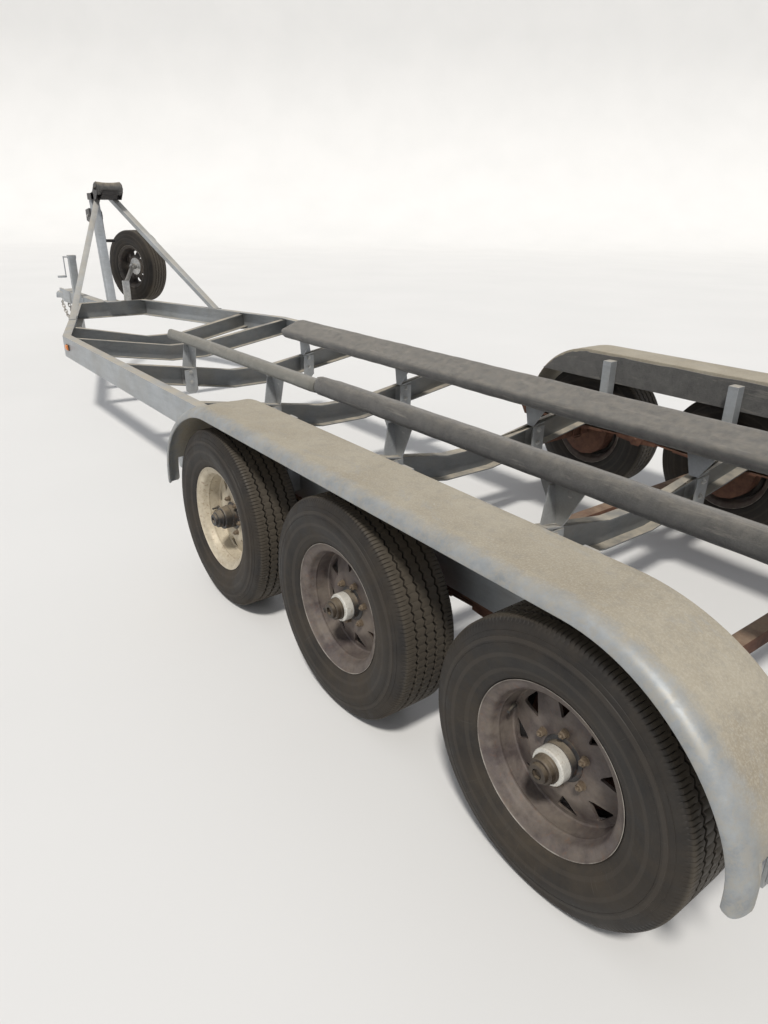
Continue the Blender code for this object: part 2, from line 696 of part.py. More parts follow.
def leaf(centre_x, half_length, low, rise, thick):
    """A spring leaf: a gentle arc of flat bar, seen from the side: (x, z)."""
    steps = 4
    upper = []
    lower = []
    for step in range(steps + 1):
        along = -1.0 + 2.0 * step / steps
        z = low + rise * along * along
        upper.append((centre_x + along * half_length, z + thick))
        lower.append((centre_x + along * half_length, z))
    return upper + list(reversed(lower))


def build_suspension(side_name, side):
    """A carrier strip under the rail with hangers, rockers and three leaf springs, joined by their pins."""
    centre = RAIL_Y - RAIL_FLANGE / 2.0
    strip_top = RAIL_TOP - RAIL_HEIGHT - GAP
    spring_seat = TYRE_RADIUS + AXLE_SIZE / 2.0 + GAP
    eye_z = spring_seat + EYE_RISE
    rear = -SPRING_HALF
    front = FRONT_AXLE_X + SPRING_HALF
    pivots = (AXLE_PITCH / 2.0, 1.5 * AXLE_PITCH)

    def band(inner, outer):
        return sorted((side * (centre + inner), side * (centre + outer)))

    low_y, high_y = band(-STRIP_HALF, STRIP_HALF)
    strip = block((rear - 0.06, low_y, strip_top - STRIP_THICK), (front + 0.06, high_y, strip_top))
    node = add_node("suspension_" + side_name, strip, "rusty_steel")
    for x in (rear, *pivots, front):
        plate = (
            (x - HANGER_ROOT, strip_top - 0.004), (x + HANGER_ROOT, strip_top - 0.004),
            (x + HANGER_FOOT, eye_z - 0.030), (x - HANGER_FOOT, eye_z - 0.030),
        )
        for inner in (-STRIP_HALF, STRIP_HALF - PLATE):
            low_y, high_y = band(inner, inner + PLATE)
            weld(node, prism(plate, 1, low_y, high_y))
    low_y, high_y = band(-STRIP_HALF, STRIP_HALF)
    reach = AXLE_PITCH / 2.0 - SPRING_HALF + 0.014
    for x in pivots:
        rocker = (
            (x - reach, eye_z - 0.012), (x, eye_z - 0.022), (x + reach, eye_z - 0.012),
            (x + reach, eye_z + 0.012), (x, eye_z + 0.018), (x - reach, eye_z + 0.012),
        )
        rocker_low, rocker_high = band(-ROCKER_HALF, ROCKER_HALF)
        weld(node, prism(rocker, 1, rocker_low, rocker_high))
        weld(node, rod((x, low_y - 0.004, eye_z), (x, high_y + 0.004, eye_z), 0.009, 8))
    for axle_x in AXLES.values():
        low_y, high_y = band(-SPRING_HALF_WIDTH, SPRING_HALF_WIDTH)
        for rank, share in enumerate((0.34, 0.66, 1.0)):
            low = spring_seat + 0.008 + 0.007 * rank
            blade = leaf(axle_x, SPRING_HALF * share, low, 0.010 * share, 0.0075)
            weld(node, prism(blade, 1, low_y, high_y))
        seat_low = (axle_x - 0.045, low_y - 0.006, spring_seat)
        seat_high = (axle_x + 0.045, high_y + 0.006, spring_seat + 0.012)
        weld(node, block(seat_low, seat_high))
    for x in (rear, front):
        low_y, high_y = band(-STRIP_HALF - 0.004, STRIP_HALF + 0.004)
        weld(node, rod((x, low_y, eye_z), (x, high_y, eye_z), 0.016, 10))
    return node


def build_tongue():
    """The box tube tongue, from the front crossmember out to the coupler."""
    half = TONGUE_WIDTH / 2.0
    rear = NOSE_FRAME_X + GAP
    wall = 0.005
    node = add_node("tongue", block((rear, -half, TONGUE_LOW), (TONGUE_FRONT, half, TONGUE_TOP)), "galvanised")
    inside_low = (rear - 0.01, wall - half, TONGUE_LOW + wall)
    inside_high = (TONGUE_FRONT + 0.01, half - wall, TONGUE_TOP - wall)
    cut(node, block(inside_low, inside_high))
    chain_lugs(node, CHAIN_REAR_X, TONGUE_LOW)
    return node


def build_coupler():
    """The sliding brake coupler: a housing round the tongue's end, its ram and the ball socket."""
    half = TONGUE_WIDTH / 2.0
    start = TONGUE_FRONT + GAP
    housing_low = (start, -half - 0.008, TONGUE_LOW - 0.010)
    housing_high = (start + 0.30, half + 0.008, TONGUE_TOP + 0.012)
    node = add_node("coupler", block(housing_low, housing_high), "galvanised")
    neck = 0.030
    neck_end = COUPLER_X - COUPLER_RADIUS + 0.012
    weld(node, block((start + 0.28, -neck, COUPLER_Z - 0.025), (neck_end, neck, COUPLER_Z + 0.045)))
    shell = (
        (0.0, 0.050), (COUPLER_RADIUS * 0.6, 0.046), (COUPLER_RADIUS, 0.020), (COUPLER_RADIUS + PLATE, -0.030),
        (COUPLER_RADIUS - 0.014, -0.030), (COUPLER_RADIUS - 0.018, 0.004), (0.0, 0.022),
    )
    weld(node, turn(shell, 16, 2, (COUPLER_X, 0.0, COUPLER_Z)))
    lever_low = (COUPLER_X - 0.16, -0.012, COUPLER_Z + 0.040)
    lever_high = (COUPLER_X - 0.03, 0.012, COUPLER_Z + 0.085)
    weld(node, block(lever_low, lever_high))
    chain_lugs(node, CHAIN_FRONT_X, COUPLER_Z - 0.025)
    return node


def build_jack():
    """The tongue jack: a square tube with its crank, and the leg that slides in it."""
    half = JACK_TUBE / 2.0
    inner = half - JACK_WALL
    tube = block((-half, -half, TONGUE_LOW), (half, half, JACK_TOP))
    housing = add_node("jack_housing", tube, "galvanised", (JACK_X, JACK_Y, 0.0))
    cut(housing, block((-inner, -inner, TONGUE_LOW - 0.01), (inner, inner, JACK_TOP - 0.012)))
    lid = half + 0.004
    weld(housing, block((-lid, -lid, JACK_TOP - 0.004), (lid, lid, JACK_TOP + 0.030)))
    arm_y = half + 0.050
    weld(housing, rod((0.0, half, JACK_TOP + 0.013), (0.0, arm_y, JACK_TOP + 0.013), 0.007, 8))
    weld(housing, rod((0.0, arm_y, JACK_TOP + 0.021), (0.0, arm_y, JACK_TOP - 0.190), 0.006, 8))
    grip_z = JACK_TOP - 0.186
    weld(housing, rod((0.0, arm_y - 0.006, grip_z), (0.0, arm_y + 0.085, grip_z), 0.012, 8))
    seat = JACK_Y - half - TONGUE_WIDTH / 2.0 - GAP
    weld(housing, block((-0.06, -half - seat, TONGUE_LOW + 0.01), (0.06, -half + OVERLAP, TONGUE_TOP - 0.01)))
    leg = inner - RUN_CLEARANCE
    leg_top = JACK_TOP - 0.012 - JACK_TRAVEL - 0.010
    slider = add_node("jack_leg", block((-leg, -leg, JACK_FOOT_THICK - OVERLAP), (leg, leg, leg_top)), "zinc",
                      (JACK_X, JACK_Y, 0.0))
    foot = ((0.0, 0.0), (JACK_FOOT_RADIUS, 0.0), (JACK_FOOT_RADIUS, JACK_FOOT_THICK), (0.0, JACK_FOOT_THICK))
    weld(slider, turn(foot, 16, 2))


def build_bow_arm(head_x):
    """The arm on top of the winch post, with a cross block and cheeks for the bow roller, and the roller."""
    low = WINCH_POST_TOP + GAP
    high = low + ARM_HEIGHT
    rear = head_x - ARM_REACH
    roller_x = rear - ROLLER_BACK
    roller_z = high + ROLLER_RISE
    roller_half = ROLLER_LENGTH / 2.0
    cheek_y = roller_half + GAP
    front = head_x + WINCH_POST_SIZE / 2.0
    bar = block((rear, -ARM_WIDTH / 2.0, low), (front, ARM_WIDTH / 2.0, high))
    arm = add_node("bow_arm", bar, "black_steel")
    weld(arm, block((rear, -cheek_y - PLATE, low), (rear + HEAD_LENGTH, cheek_y + PLATE, high)))
    cheek = ((rear + HEAD_LENGTH, low), (rear + HEAD_LENGTH, high), (rear + 0.02, high + 0.01),
             (roller_x, roller_z + 0.030), (roller_x - 0.03, roller_z), (roller_x, roller_z - 0.030))
    for side in SIDES.values():
        low_y, high_y = sorted((side * cheek_y, side * (cheek_y + PLATE)))
        weld(arm, prism(cheek, 1, low_y, high_y))
    pin_end = cheek_y + PLATE + 0.006
    weld(arm, rod((roller_x, -pin_end, roller_z), (roller_x, pin_end, roller_z), ROLLER_PIN, 10))
    bore = ROLLER_PIN + RUN_CLEARANCE
    drum = (
        (ROLLER_RADIUS, -roller_half), (ROLLER_RADIUS - 0.008, 0.0), (ROLLER_RADIUS, roller_half),
        (bore, roller_half), (bore, -roller_half),
    )
    add_node("bow_roller", turn(drum, 18), "roller_rubber", (roller_x, 0.0, roller_z), smooth=True)


def build_brace(side_name, side, top_x):
    """A square bar from a plate on the rail's top up to the underside of the bow arm's cross block."""
    base = RAIL_TOP + GAP
    plate = []
    for x, inset in ((-1.0, 0.0), (1.0, 0.0), (1.0, RAIL_FLANGE), (-1.0, RAIL_FLANGE)):
        place = BRACE_FOOT_X + x * FOOT_PLATE_HALF
        plate.append((place, side * (rail_outer(place) - inset)))
    node = add_node("brace_" + side_name, prism(plate, 2, base, base + PLATE), "galvanised")
    foot_z = base + PLATE - OVERLAP
    start = Vector((BRACE_FOOT_X, side * (rail_outer(BRACE_FOOT_X) - RAIL_FLANGE / 2.0), foot_z))
    top = Vector((top_x, side * BRACE_TOP_Y, WINCH_POST_TOP))
    run = (top - start).normalized()
    edge = run.cross(Vector((0.0, -side, 0.0))).normalized()
    flat = edge.cross(run).normalized()
    sections = []
    for centre in (start, top):
        ring = []
        for a, b in ((-1, -1), (1, -1), (1, 1), (-1, 1)):
            point = centre + (edge * a + flat * b) * (BRACE_SIZE / 2.0)
            ring.append(point + run * ((centre.z - point.z) / run.z))
        sections.append(ring)
    weld(node, loft(sections))


def build_winch_stand():
    """The winch post on the front crossmember, its two braces, the bow arm and the winch."""
    half = WINCH_POST_SIZE / 2.0
    base = RAIL_TOP + GAP
    sections = []
    for z, lean in ((base, 0.0), (WINCH_POST_TOP, WINCH_POST_LEAN)):
        middle = POST_X - half + lean
        sections.append([(middle + half * a, half * b, z) for a, b in ((-1, -1), (1, -1), (1, 1), (-1, 1))])
    post = add_node("winch_post", loft(sections), "galvanised")
    foot = half + 0.035
    weld(post, block((POST_X - half - foot, -foot, base), (POST_X - half + foot, foot, base + 0.008)))
    head_x = POST_X - half + WINCH_POST_LEAN
    build_bow_arm(head_x)
    for side_name, side in SIDES.items():
        build_brace(side_name, side, head_x - ARM_REACH + HEAD_LENGTH / 2.0)

    slope = WINCH_POST_LEAN / (WINCH_POST_TOP - base)
    front = POST_X + slope * (WINCH_Z - base)
    back = []
    for up in (-0.07, 0.07):
        face = front + slope * up + GAP * 1.2
        back.append(((face, WINCH_Z + up), (face + 0.010, WINCH_Z + up)))
    outline = (back[0][0], back[0][1], back[1][1], back[1][0])
    winch = add_node("winch", prism(outline, 1, -0.055, 0.055), "black_steel")
    for side in SIDES.values():
        low_y, high_y = sorted((side * 0.049, side * 0.055))
        cheek = (back[0][0], (front + 0.125, WINCH_Z - 0.045), (front + 0.125, WINCH_Z + 0.055), back[1][0])
        weld(winch, prism(cheek, 1, low_y, high_y))
    drum = ((0.0, -0.052), (0.050, -0.052), (0.050, 0.052), (0.0, 0.052))
    weld(winch, turn(drum, 16, 1, (front + 0.070, 0.0, WINCH_Z)))
    shaft_x = front + 0.085
    shaft_z = WINCH_Z - 0.02
    grip_x = front + 0.060
    grip_z = WINCH_Z - 0.235
    weld(winch, rod((shaft_x, -0.092, shaft_z), (shaft_x, 0.050, shaft_z), 0.010, 8))
    weld(winch, rod((shaft_x, -0.082, shaft_z), (grip_x, -0.082, WINCH_Z - 0.24), 0.009, 8))
    weld(winch, rod((grip_x, -0.074, grip_z), (grip_x, -0.175, grip_z), 0.015, 8))


def build_spare():
    """The spare wheel on its carrier, beside the front of the frame."""
    build_wheel("spare", (SPARE_X, SPARE_Y, SPARE_Z), 1.0, "wheel_paint", False, SPARE_YAW)
    inward = Vector((-math.sin(SPARE_YAW), math.cos(SPARE_YAW), 0.0))
    plate_face = Vector((SPARE_X, SPARE_Y, SPARE_Z)) + inward * (DISC_OUT + GAP)
    post_x = NOSE_FRAME_X - CROSS_FLANGE / 2.0
    post_low = (post_x - 0.022, CARRIER_Y - 0.03, RAIL_TOP + GAP)
    post_high = (post_x + 0.022, CARRIER_Y + 0.03, CARRIER_TOP)
    carrier = add_node("spare_carrier", block(post_low, post_high), "zinc")
    weld(carrier, rod(plate_face, plate_face + inward * 0.008, CARRIER_PLATE, 16))
    weld(carrier, rod(plate_face + inward * 0.004, plate_face + inward * 0.060, 0.028, 12))
    weld(carrier, rod(plate_face + inward * 0.045, (post_x, CARRIER_Y, CARRIER_TOP - 0.030), 0.022, 10))


def chain_link(centre, along, across):
    """One oval link of square wire, as rings round its middle line."""
    out = along.cross(across).normalized()
    half_length = (CHAIN_LINK - CHAIN_WIDTH) / 2.0
    bend = CHAIN_WIDTH / 2.0 - CHAIN_WIRE
    rings = []
    for index in range(LINK_CORNERS):
        angle = math.tau * (index + 0.5) / LINK_CORNERS
        end = half_length if math.cos(angle) > 0.0 else -half_length
        radial = along * math.cos(angle) + across * math.sin(angle)
        middle = centre + along * end + radial * bend
        rings.append([middle + radial * CHAIN_WIRE * a + out * CHAIN_WIRE * b
                      for a, b in ((1, 0), (0, 1), (-1, 0), (0, -1))])
    return rings


def hanging_line(start, end, length):
    """Points along a parabola of a given length between two ends."""
    low, high = 0.0, length
    for _ in range(40):
        sag = (low + high) / 2.0
        line = []
        for step in range(201):
            share = step / 200.0
            place = start.lerp(end, share)
            place.z -= sag * 4.0 * share * (1.0 - share)
            line.append(place)
        run = sum((after - before).length for before, after in zip(line, line[1:]))
        if run < length:
            low = sag
        else:
            high = sag
    return line


def along_line(line, distance):
    """Place and direction at a distance along a line of points."""
    for before, after in zip(line, line[1:]):
        step = (after - before).length
        if distance <= step:
            return before.lerp(after, distance / step), (after - before).normalized()
        distance -= step
    return line[-1].copy(), (line[-1] - line[-2]).normalized()


def build_chain(side_name, side):
    """A safety chain, hung in a loop from its bolt under the tongue to its bolt under the coupler."""
    inside = (CHAIN_LINK - CHAIN_WIDTH) / 2.0
    inside += (CHAIN_WIDTH / 2.0 - CHAIN_WIRE) * math.cos(math.pi / LINK_CORNERS) - CHAIN_WIRE
    pitch = 2.0 * inside + LINK_PRESS
    lead = inside - CHAIN_BOLT - GAP
    start = Vector((CHAIN_REAR_X, side * CHAIN_Y, CHAIN_BOLT_Z))
    end = Vector((CHAIN_FRONT_X, side * CHAIN_Y, CHAIN_BOLT_Z))
    line = hanging_line(start, end, 2.0 * lead + (CHAIN_LINKS - 1) * pitch)
    sideways = Vector((0.0, 1.0, 0.0))
    node = None
    for index in range(CHAIN_LINKS):
        place, along = along_line(line, lead + index * pitch)
        flat = sideways if index % 2 else along.cross(sideways).normalized()
        mesh = bmesh.new()
        rings = [[mesh.verts.new(point) for point in ring] for ring in chain_link(place, along, flat)]
        for first, second in zip(rings, rings[1:] + rings[:1]):
            for corner in range(4):
                after = (corner + 1) % 4
                mesh.faces.new((first[corner], first[after], second[after], second[corner]))
        if node is None:
            node = add_node("safety_chain_" + side_name, mesh, "zinc")
        else:
            weld(node, mesh)


def chain_lugs(node, x, top):
    """The lugs and bolts that hold one end of both safety chains."""
    inner = CHAIN_Y - CHAIN_WIRE - GAP - PLATE
    for side in SIDES.values():
        low_y, high_y = sorted((side * inner, side * (inner + PLATE)))
        weld(node, block((x - 0.014, low_y, CHAIN_BOLT_Z - 0.011), (x + 0.014, high_y, top + OVERLAP)))
        outer = CHAIN_Y + CHAIN_WIRE + GAP
        head = (x, side * outer, CHAIN_BOLT_Z)
        shank_end = (x, side * (outer + 0.002), CHAIN_BOLT_Z)
        weld(node, rod((x, side * inner, CHAIN_BOLT_Z), shank_end, CHAIN_BOLT, 8))
        weld(node, rod(head, (x, side * (outer + 0.006), CHAIN_BOLT_Z), CHAIN_BOLT * 2.0, 6))


def build_lamps():
    """Amber markers at the bends of the frame and red tail lamps on the rear ends of the rails."""
    for side_name, side in SIDES.items():
        face = side * (RAIL_Y + GAP)
        low_y, high_y = sorted((face, face + side * LAMP_DEPTH))
        x = BEND_X - 0.12
        z = RAIL_TOP - RAIL_HEIGHT * 0.45
        marker = block((x - LAMP_LENGTH / 2.0, low_y, z - LAMP_HEIGHT / 2.0),
                       (x + LAMP_LENGTH / 2.0, high_y, z + LAMP_HEIGHT / 2.0))
        add_node("marker_lamp_" + side_name, marker, "amber_lens")
        low_y, high_y = sorted((face, face + side * 0.050))
        tail = block((REAR_END + 0.02, low_y, RAIL_TOP - 0.110), (REAR_END + 0.19, high_y, RAIL_TOP - 0.020))
        add_node("tail_lamp_" + side_name, tail, "red_lens")


for rail_name, rail_side in SIDES.items():
    build_rail(rail_name, rail_side)
    build_fender(rail_name, rail_side)
    build_suspension(rail_name, rail_side)
    build_chain(rail_name, rail_side)
build_front_crossmember()
for cross_name, cross_from, cross_ahead, cross_posts in CROSSMEMBERS:
    build_crossmember(cross_name, cross_from + cross_ahead, cross_posts)
for bunk_row in BUNKS:
    build_bunk(*bunk_row)
for axle_name, axle_place in AXLES.items():
    build_axle(axle_name, axle_place)
    for wheel_side_name, wheel_side in SIDES.items():
        finish = "wheel_cream" if (axle_name, wheel_side_name) == ("front", "left") else "wheel_paint"
        wheel_name = "wheel_" + axle_name + "_" + wheel_side_name
        wheel_place = (axle_place, wheel_side * WHEEL_Y, TYRE_RADIUS)
        build_wheel(wheel_name, wheel_place, wheel_side, finish, True)
build_tongue()
build_coupler()
build_jack()
build_winch_stand()
build_spare()
build_lamps()
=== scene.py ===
import math

import bmesh
import bpy
from mathutils import Matrix, Vector


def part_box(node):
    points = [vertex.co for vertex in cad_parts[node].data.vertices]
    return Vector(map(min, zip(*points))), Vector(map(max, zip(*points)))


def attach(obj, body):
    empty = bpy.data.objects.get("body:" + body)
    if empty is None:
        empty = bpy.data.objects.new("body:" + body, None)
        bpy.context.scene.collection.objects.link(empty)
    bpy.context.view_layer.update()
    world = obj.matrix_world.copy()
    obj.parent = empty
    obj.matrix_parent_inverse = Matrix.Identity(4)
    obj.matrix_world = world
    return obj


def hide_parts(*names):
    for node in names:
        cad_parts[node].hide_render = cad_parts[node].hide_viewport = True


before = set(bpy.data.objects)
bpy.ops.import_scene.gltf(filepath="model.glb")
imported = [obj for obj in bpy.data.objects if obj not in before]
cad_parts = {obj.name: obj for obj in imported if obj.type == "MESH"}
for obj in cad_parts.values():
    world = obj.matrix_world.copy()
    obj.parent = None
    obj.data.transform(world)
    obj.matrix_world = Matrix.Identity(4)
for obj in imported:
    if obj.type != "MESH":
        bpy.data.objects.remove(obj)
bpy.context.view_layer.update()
scene = bpy.context.scene

X_SHIFT = 3.652
ROOT = "frame"
TYRE_RADIUS = 0.3595
WHEEL_Y = 1.1485
AXLE_PITCH = 0.847
AXLES = {"rear": 0.0, "middle": AXLE_PITCH, "front": 2.0 * AXLE_PITCH}
POST_Y = 0.460            # bunk posts, from the middle
RAIL_OUT = 0.9545         # just outside the rails
SIDES = {"left": 1.0, "right": -1.0}


def row(x, y, z):
    """A drawing place in the row frame."""
    return Vector((x - X_SHIFT, y, z))


# Materials


class Paint:
    """One material's node tree, written a node at a time."""

    def __init__(self, name, metallic=0.0, roughness=0.6):
        self.material = bpy.data.materials.new(name)
        self.material.use_nodes = True
        self.tree = self.material.node_tree
        self.surface = self.tree.nodes["Principled BSDF"]
        self.surface.inputs["Metallic"].default_value = metallic
        self.surface.inputs["Roughness"].default_value = roughness
        self.normal = None

    def add(self, kind, values, **settings):
        """A node with its settings and its inputs, given by name or number as values or sockets."""
        node = self.tree.nodes.new(kind)
        for key, value in settings.items():
            setattr(node, key, value)
        for key, value in values.items():
            if isinstance(value, bpy.types.NodeSocket):
                self.tree.links.new(value, node.inputs[key])
            elif value is not None:
                node.inputs[key].default_value = value
        return node

    def place(self, scale=(1.0, 1.0, 1.0)):
        """Object coordinates, stretched."""
        coords = self.add("ShaderNodeTexCoord", {}).outputs["Object"]
        return self.add("ShaderNodeMapping", {"Vector": coords, "Scale": scale}).outputs["Vector"]

    def noise(self, scale, detail=4.0, rough=0.6, vector=None, warp=0.0):
        vector = vector or self.place()
        values = {
            "Vector": vector, "Scale": scale, "Detail": detail, "Roughness": rough, "Distortion": warp,
        }
        return self.add("ShaderNodeTexNoise", values).outputs["Fac"]

    def cells(self, scale, vector=None, feature="F1"):
        values = {"Vector": vector or self.place(), "Scale": scale}
        return self.add("ShaderNodeTexVoronoi", values, feature=feature).outputs["Distance"]

    def span(self, value, low, high, to_low=0.0, to_high=1.0):
        values = {"Value": value, "From Min": low, "From Max": high, "To Min": to_low, "To Max": to_high}
        return self.add("ShaderNodeMapRange", values, clamp=True).outputs["Result"]

    def patch(self, scale, detail, rough, low, high, to_low=0.0, to_high=1.0, vector=None, warp=0.0):
        """Noise, stretched between two levels."""
        return self.span(self.noise(scale, detail, rough, vector, warp), low, high, to_low, to_high)

    def math(self, operation, first, second=0.0):
        return self.add("ShaderNodeMath", {0: first, 1: second}, operation=operation).outputs[0]

    def times(self, first, second):
        return self.math("MULTIPLY", first, second)

    def parts(self):
        """Object coordinates, apart."""
        return self.add("ShaderNodeSeparateXYZ", {"Vector": self.place()}).outputs

    def radius(self, parts):
        """Distance from the Y axis through the piece's origin."""
        flat = self.add("ShaderNodeCombineXYZ", {"X": parts["X"], "Z": parts["Z"]}).outputs["Vector"]
        return self.add("ShaderNodeVectorMath", {0: flat}, operation="LENGTH").outputs["Value"]

    def mix(self, factor, first, second):
        values = {0: factor}
        node = self.add("ShaderNodeMix", values, data_type="RGBA")
        for key, value in ((6, first), (7, second)):
            if isinstance(value, bpy.types.NodeSocket):
                self.tree.links.new(value, node.inputs[key])
            else:
                node.inputs[key].default_value = (*value, 1.0)
        return node.outputs[2]

    def facing_up(self):
        """How far a surface looks up, from the world normal."""
        normal = self.add("ShaderNodeNewGeometry", {}).outputs["Normal"]
        return self.add("ShaderNodeSeparateXYZ", {"Vector": normal}).outputs["Z"]

    def bump(self, height, strength, distance=0.002):
        values = {"Height": height, "Strength": strength, "Distance": distance, "Normal": self.normal}
        self.normal = self.add("ShaderNodeBump", values).outputs["Normal"]

    def use(self, **inputs):
        """Plug sockets or values into the surface and hand over the material."""
        for key, value in inputs.items():
            slot = self.surface.inputs[key.replace("_", " ")]
            if isinstance(value, bpy.types.NodeSocket):
                self.tree.links.new(value, slot)
            else:
                slot.default_value = value
        if self.normal is not None:
            self.tree.links.new(self.normal, self.surface.inputs["Normal"])
        return self.material


def dusted(paint, base, dust, cover, shiny, dull, up_from=0.35, up_to=0.95, grain=9.0):
    """Lay dust on what looks up, thinner where a coarse noise has cleaned it."""
    up = paint.span(paint.facing_up(), up_from, up_to)
    patches = paint.patch(grain, 6.0, 0.7, 0.36, 0.62, 0.35, 1.0)
    amount = paint.times(paint.times(up, patches), cover)
    speck = paint.noise(160.0, 3.0, 0.7)
    tone = paint.mix(speck, tuple(0.82 * c for c in dust), tuple(min(1.0, 1.12 * c) for c in dust))
    return paint.mix(amount, base, tone), paint.span(amount, 0.0, 1.0, shiny, dull)


def galvanised(name, tint, dust_cover, rust=0.0, post_painted_light_tint=None):
    """Weathered hot dip zinc: patches, spangles, streaks and dust. Bunk posts can have their own paler tint,
    painted sunlight on them.
    """
    paint = Paint(name, metallic=0.55)
    cloud = paint.patch(5.0, 6.0, 0.65, 0.32, 0.68)
    streak = paint.patch(14.0, 5.0, 0.7, 0.35, 0.7, vector=paint.place((0.4, 1.0, 3.0)))
    base = paint.mix(cloud, tuple(0.74 * c for c in tint), tint)
    base = paint.mix(paint.times(streak, 0.45), base, tuple(min(1.0, 1.25 * c) for c in tint))
    # Painted sunlight: a paler tint in a band across the crossmember at each bunk post.
    if post_painted_light_tint:
        across = paint.parts()["Y"]
        from_post = paint.math("ABSOLUTE", paint.math("SUBTRACT", paint.math("ABSOLUTE", across), POST_Y))
        plate = paint.mix(cloud, tuple(0.70 * c for c in post_painted_light_tint), post_painted_light_tint)
        base = paint.mix(paint.span(from_post, 0.0425, 0.0435, 1.0, 0.0), base, plate)
    spangle = paint.cells(95.0)
    base = paint.mix(paint.span(spangle, 0.0, 0.6, 0.0, 0.16), base, tuple(0.62 * c for c in tint))
    if rust:
        spots = paint.patch(11.0, 8.0, 0.75, 0.62, 0.72, 0.0, rust, warp=0.4)
        base = paint.mix(spots, base, (0.21, 0.085, 0.035))
    low = paint.patch(3.2, 5.0, 0.7, 0.42, 0.66, 0.0, 0.35)
    base = paint.mix(low, base, (0.27, 0.245, 0.20))
    colour, rough = dusted(paint, base, (0.45, 0.40, 0.315), dust_cover, 0.45, 0.92)
    paint.bump(paint.noise(230.0, 2.0, 0.6), 0.08, 0.0006)
    paint.bump(spangle, 0.05, 0.0006)
    metal = paint.span(rough, 0.42, 0.92, 0.55, 0.0)
    return paint.use(Base_Color=colour, Roughness=rough, Metallic=metal)


def fender_zinc():
    """The fender: a film of khaki dust over the sheet, thinner and mottled along the lip and at the tips."""
    paint = Paint("fender_zinc_look", metallic=0.2)
    parts = paint.parts()
    across = paint.math("ABSOLUTE", parts["Y"])
    cloud = paint.patch(9.0, 7.0, 0.72, 0.34, 0.66)
    base = paint.mix(cloud, (0.235, 0.25, 0.258), (0.36, 0.375, 0.38))
    mottle = paint.patch(46.0, 7.0, 0.78, 0.46, 0.58, warp=0.5)
    base = paint.mix(paint.times(mottle, 0.55), base, (0.36, 0.335, 0.285))
    nick = paint.span(paint.cells(26.0), 0.0, 0.07, 1.0, 0.0)
    sparse = paint.patch(4.0, 2.0, 0.5, 0.56, 0.62)
    base = paint.mix(paint.times(nick, sparse), base, (0.12, 0.10, 0.08))
    ragged = paint.math("ADD", across, paint.patch(17.0, 8.0, 0.75, 0.3, 0.7, -0.014, 0.014, warp=0.3))
    inboard = paint.span(ragged, 1.256, 1.214)
    above = paint.math("ADD", parts["Z"], paint.patch(9.0, 6.0, 0.7, 0.3, 0.7, -0.05, 0.05))
    amount = paint.times(inboard, paint.span(above, 0.40, 0.62, 0.45, 0.95))
    tone = paint.mix(paint.patch(3.6, 6.0, 0.65, 0.35, 0.65), (0.285, 0.245, 0.180), (0.385, 0.345, 0.270))
    tone = paint.mix(paint.patch(190.0, 4.0, 0.8, 0.46, 0.62, 0.0, 0.55), tone, (0.46, 0.42, 0.34))
    tone = paint.mix(paint.patch(34.0, 8.0, 0.82, 0.50, 0.62, 0.0, 0.45), tone, (0.265, 0.245, 0.205))
    worn = paint.patch(6.5, 8.0, 0.8, 0.56, 0.66, 0.0, 0.45, vector=paint.place((0.6, 1.6, 1.0)), warp=0.8)
    tone = paint.mix(worn, tone, (0.30, 0.305, 0.30))
    drop = paint.span(paint.cells(13.0), 0.0, 0.045, 1.0, 0.0)
    tone = paint.mix(paint.times(drop, 0.8), tone, (0.64, 0.61, 0.54))
    colour = paint.mix(amount, base, tone)
    paint.bump(paint.noise(55.0, 5.0, 0.7), 0.10, 0.001)
    paint.bump(paint.times(paint.noise(420.0, 2.0, 0.6), amount), 0.20, 0.0006)
    paint.bump(paint.noise(2.2, 3.0, 0.5), 0.30, 0.010)
    rough = paint.span(amount, 0.0, 0.9, 0.50, 0.95)
    return paint.use(Base_Color=colour, Roughness=rough, Metallic=paint.span(amount, 0.0, 0.9, 0.30, 0.0))


def carpet(name, dark, pale, worn):
    """Bunk carpet: charcoal felt with fuzz, dust and streaks rubbed along its length."""
    paint = Paint(name)
    base = paint.mix(paint.patch(17.0, 6.0, 0.75, 0.35, 0.65), dark, pale)
    lengthwise = paint.place((0.10, 1.0, 1.0))
    streak = paint.patch(30.0, 6.0, 0.75, 0.56, 0.70, 0.0, worn, vector=lengthwise, warp=0.3)
    base = paint.mix(streak, base, (0.34, 0.31, 0.26))
    fibre = paint.noise(520.0, 3.0, 0.8)
    base = paint.mix(paint.span(fibre, 0.35, 0.75, 0.0, 0.55), base, tuple(2.1 * c for c in pale))
    tuft = paint.span(paint.cells(310.0), 0.0, 0.35, 0.35, 0.0)
    base = paint.mix(tuft, base, tuple(0.35 * c for c in dark))
    colour, rough = dusted(paint, base, (0.40, 0.35, 0.27), 0.34, 0.92, 0.98, 0.2, 0.95, 26.0)
    paint.bump(fibre, 0.9, 0.003)
    paint.bump(paint.noise(90.0, 5.0, 0.75), 0.5, 0.004)
    paint.use(Base_Color=colour, Roughness=rough, Sheen_Weight=0.25, Sheen_Roughness=0.6)
    return paint.material


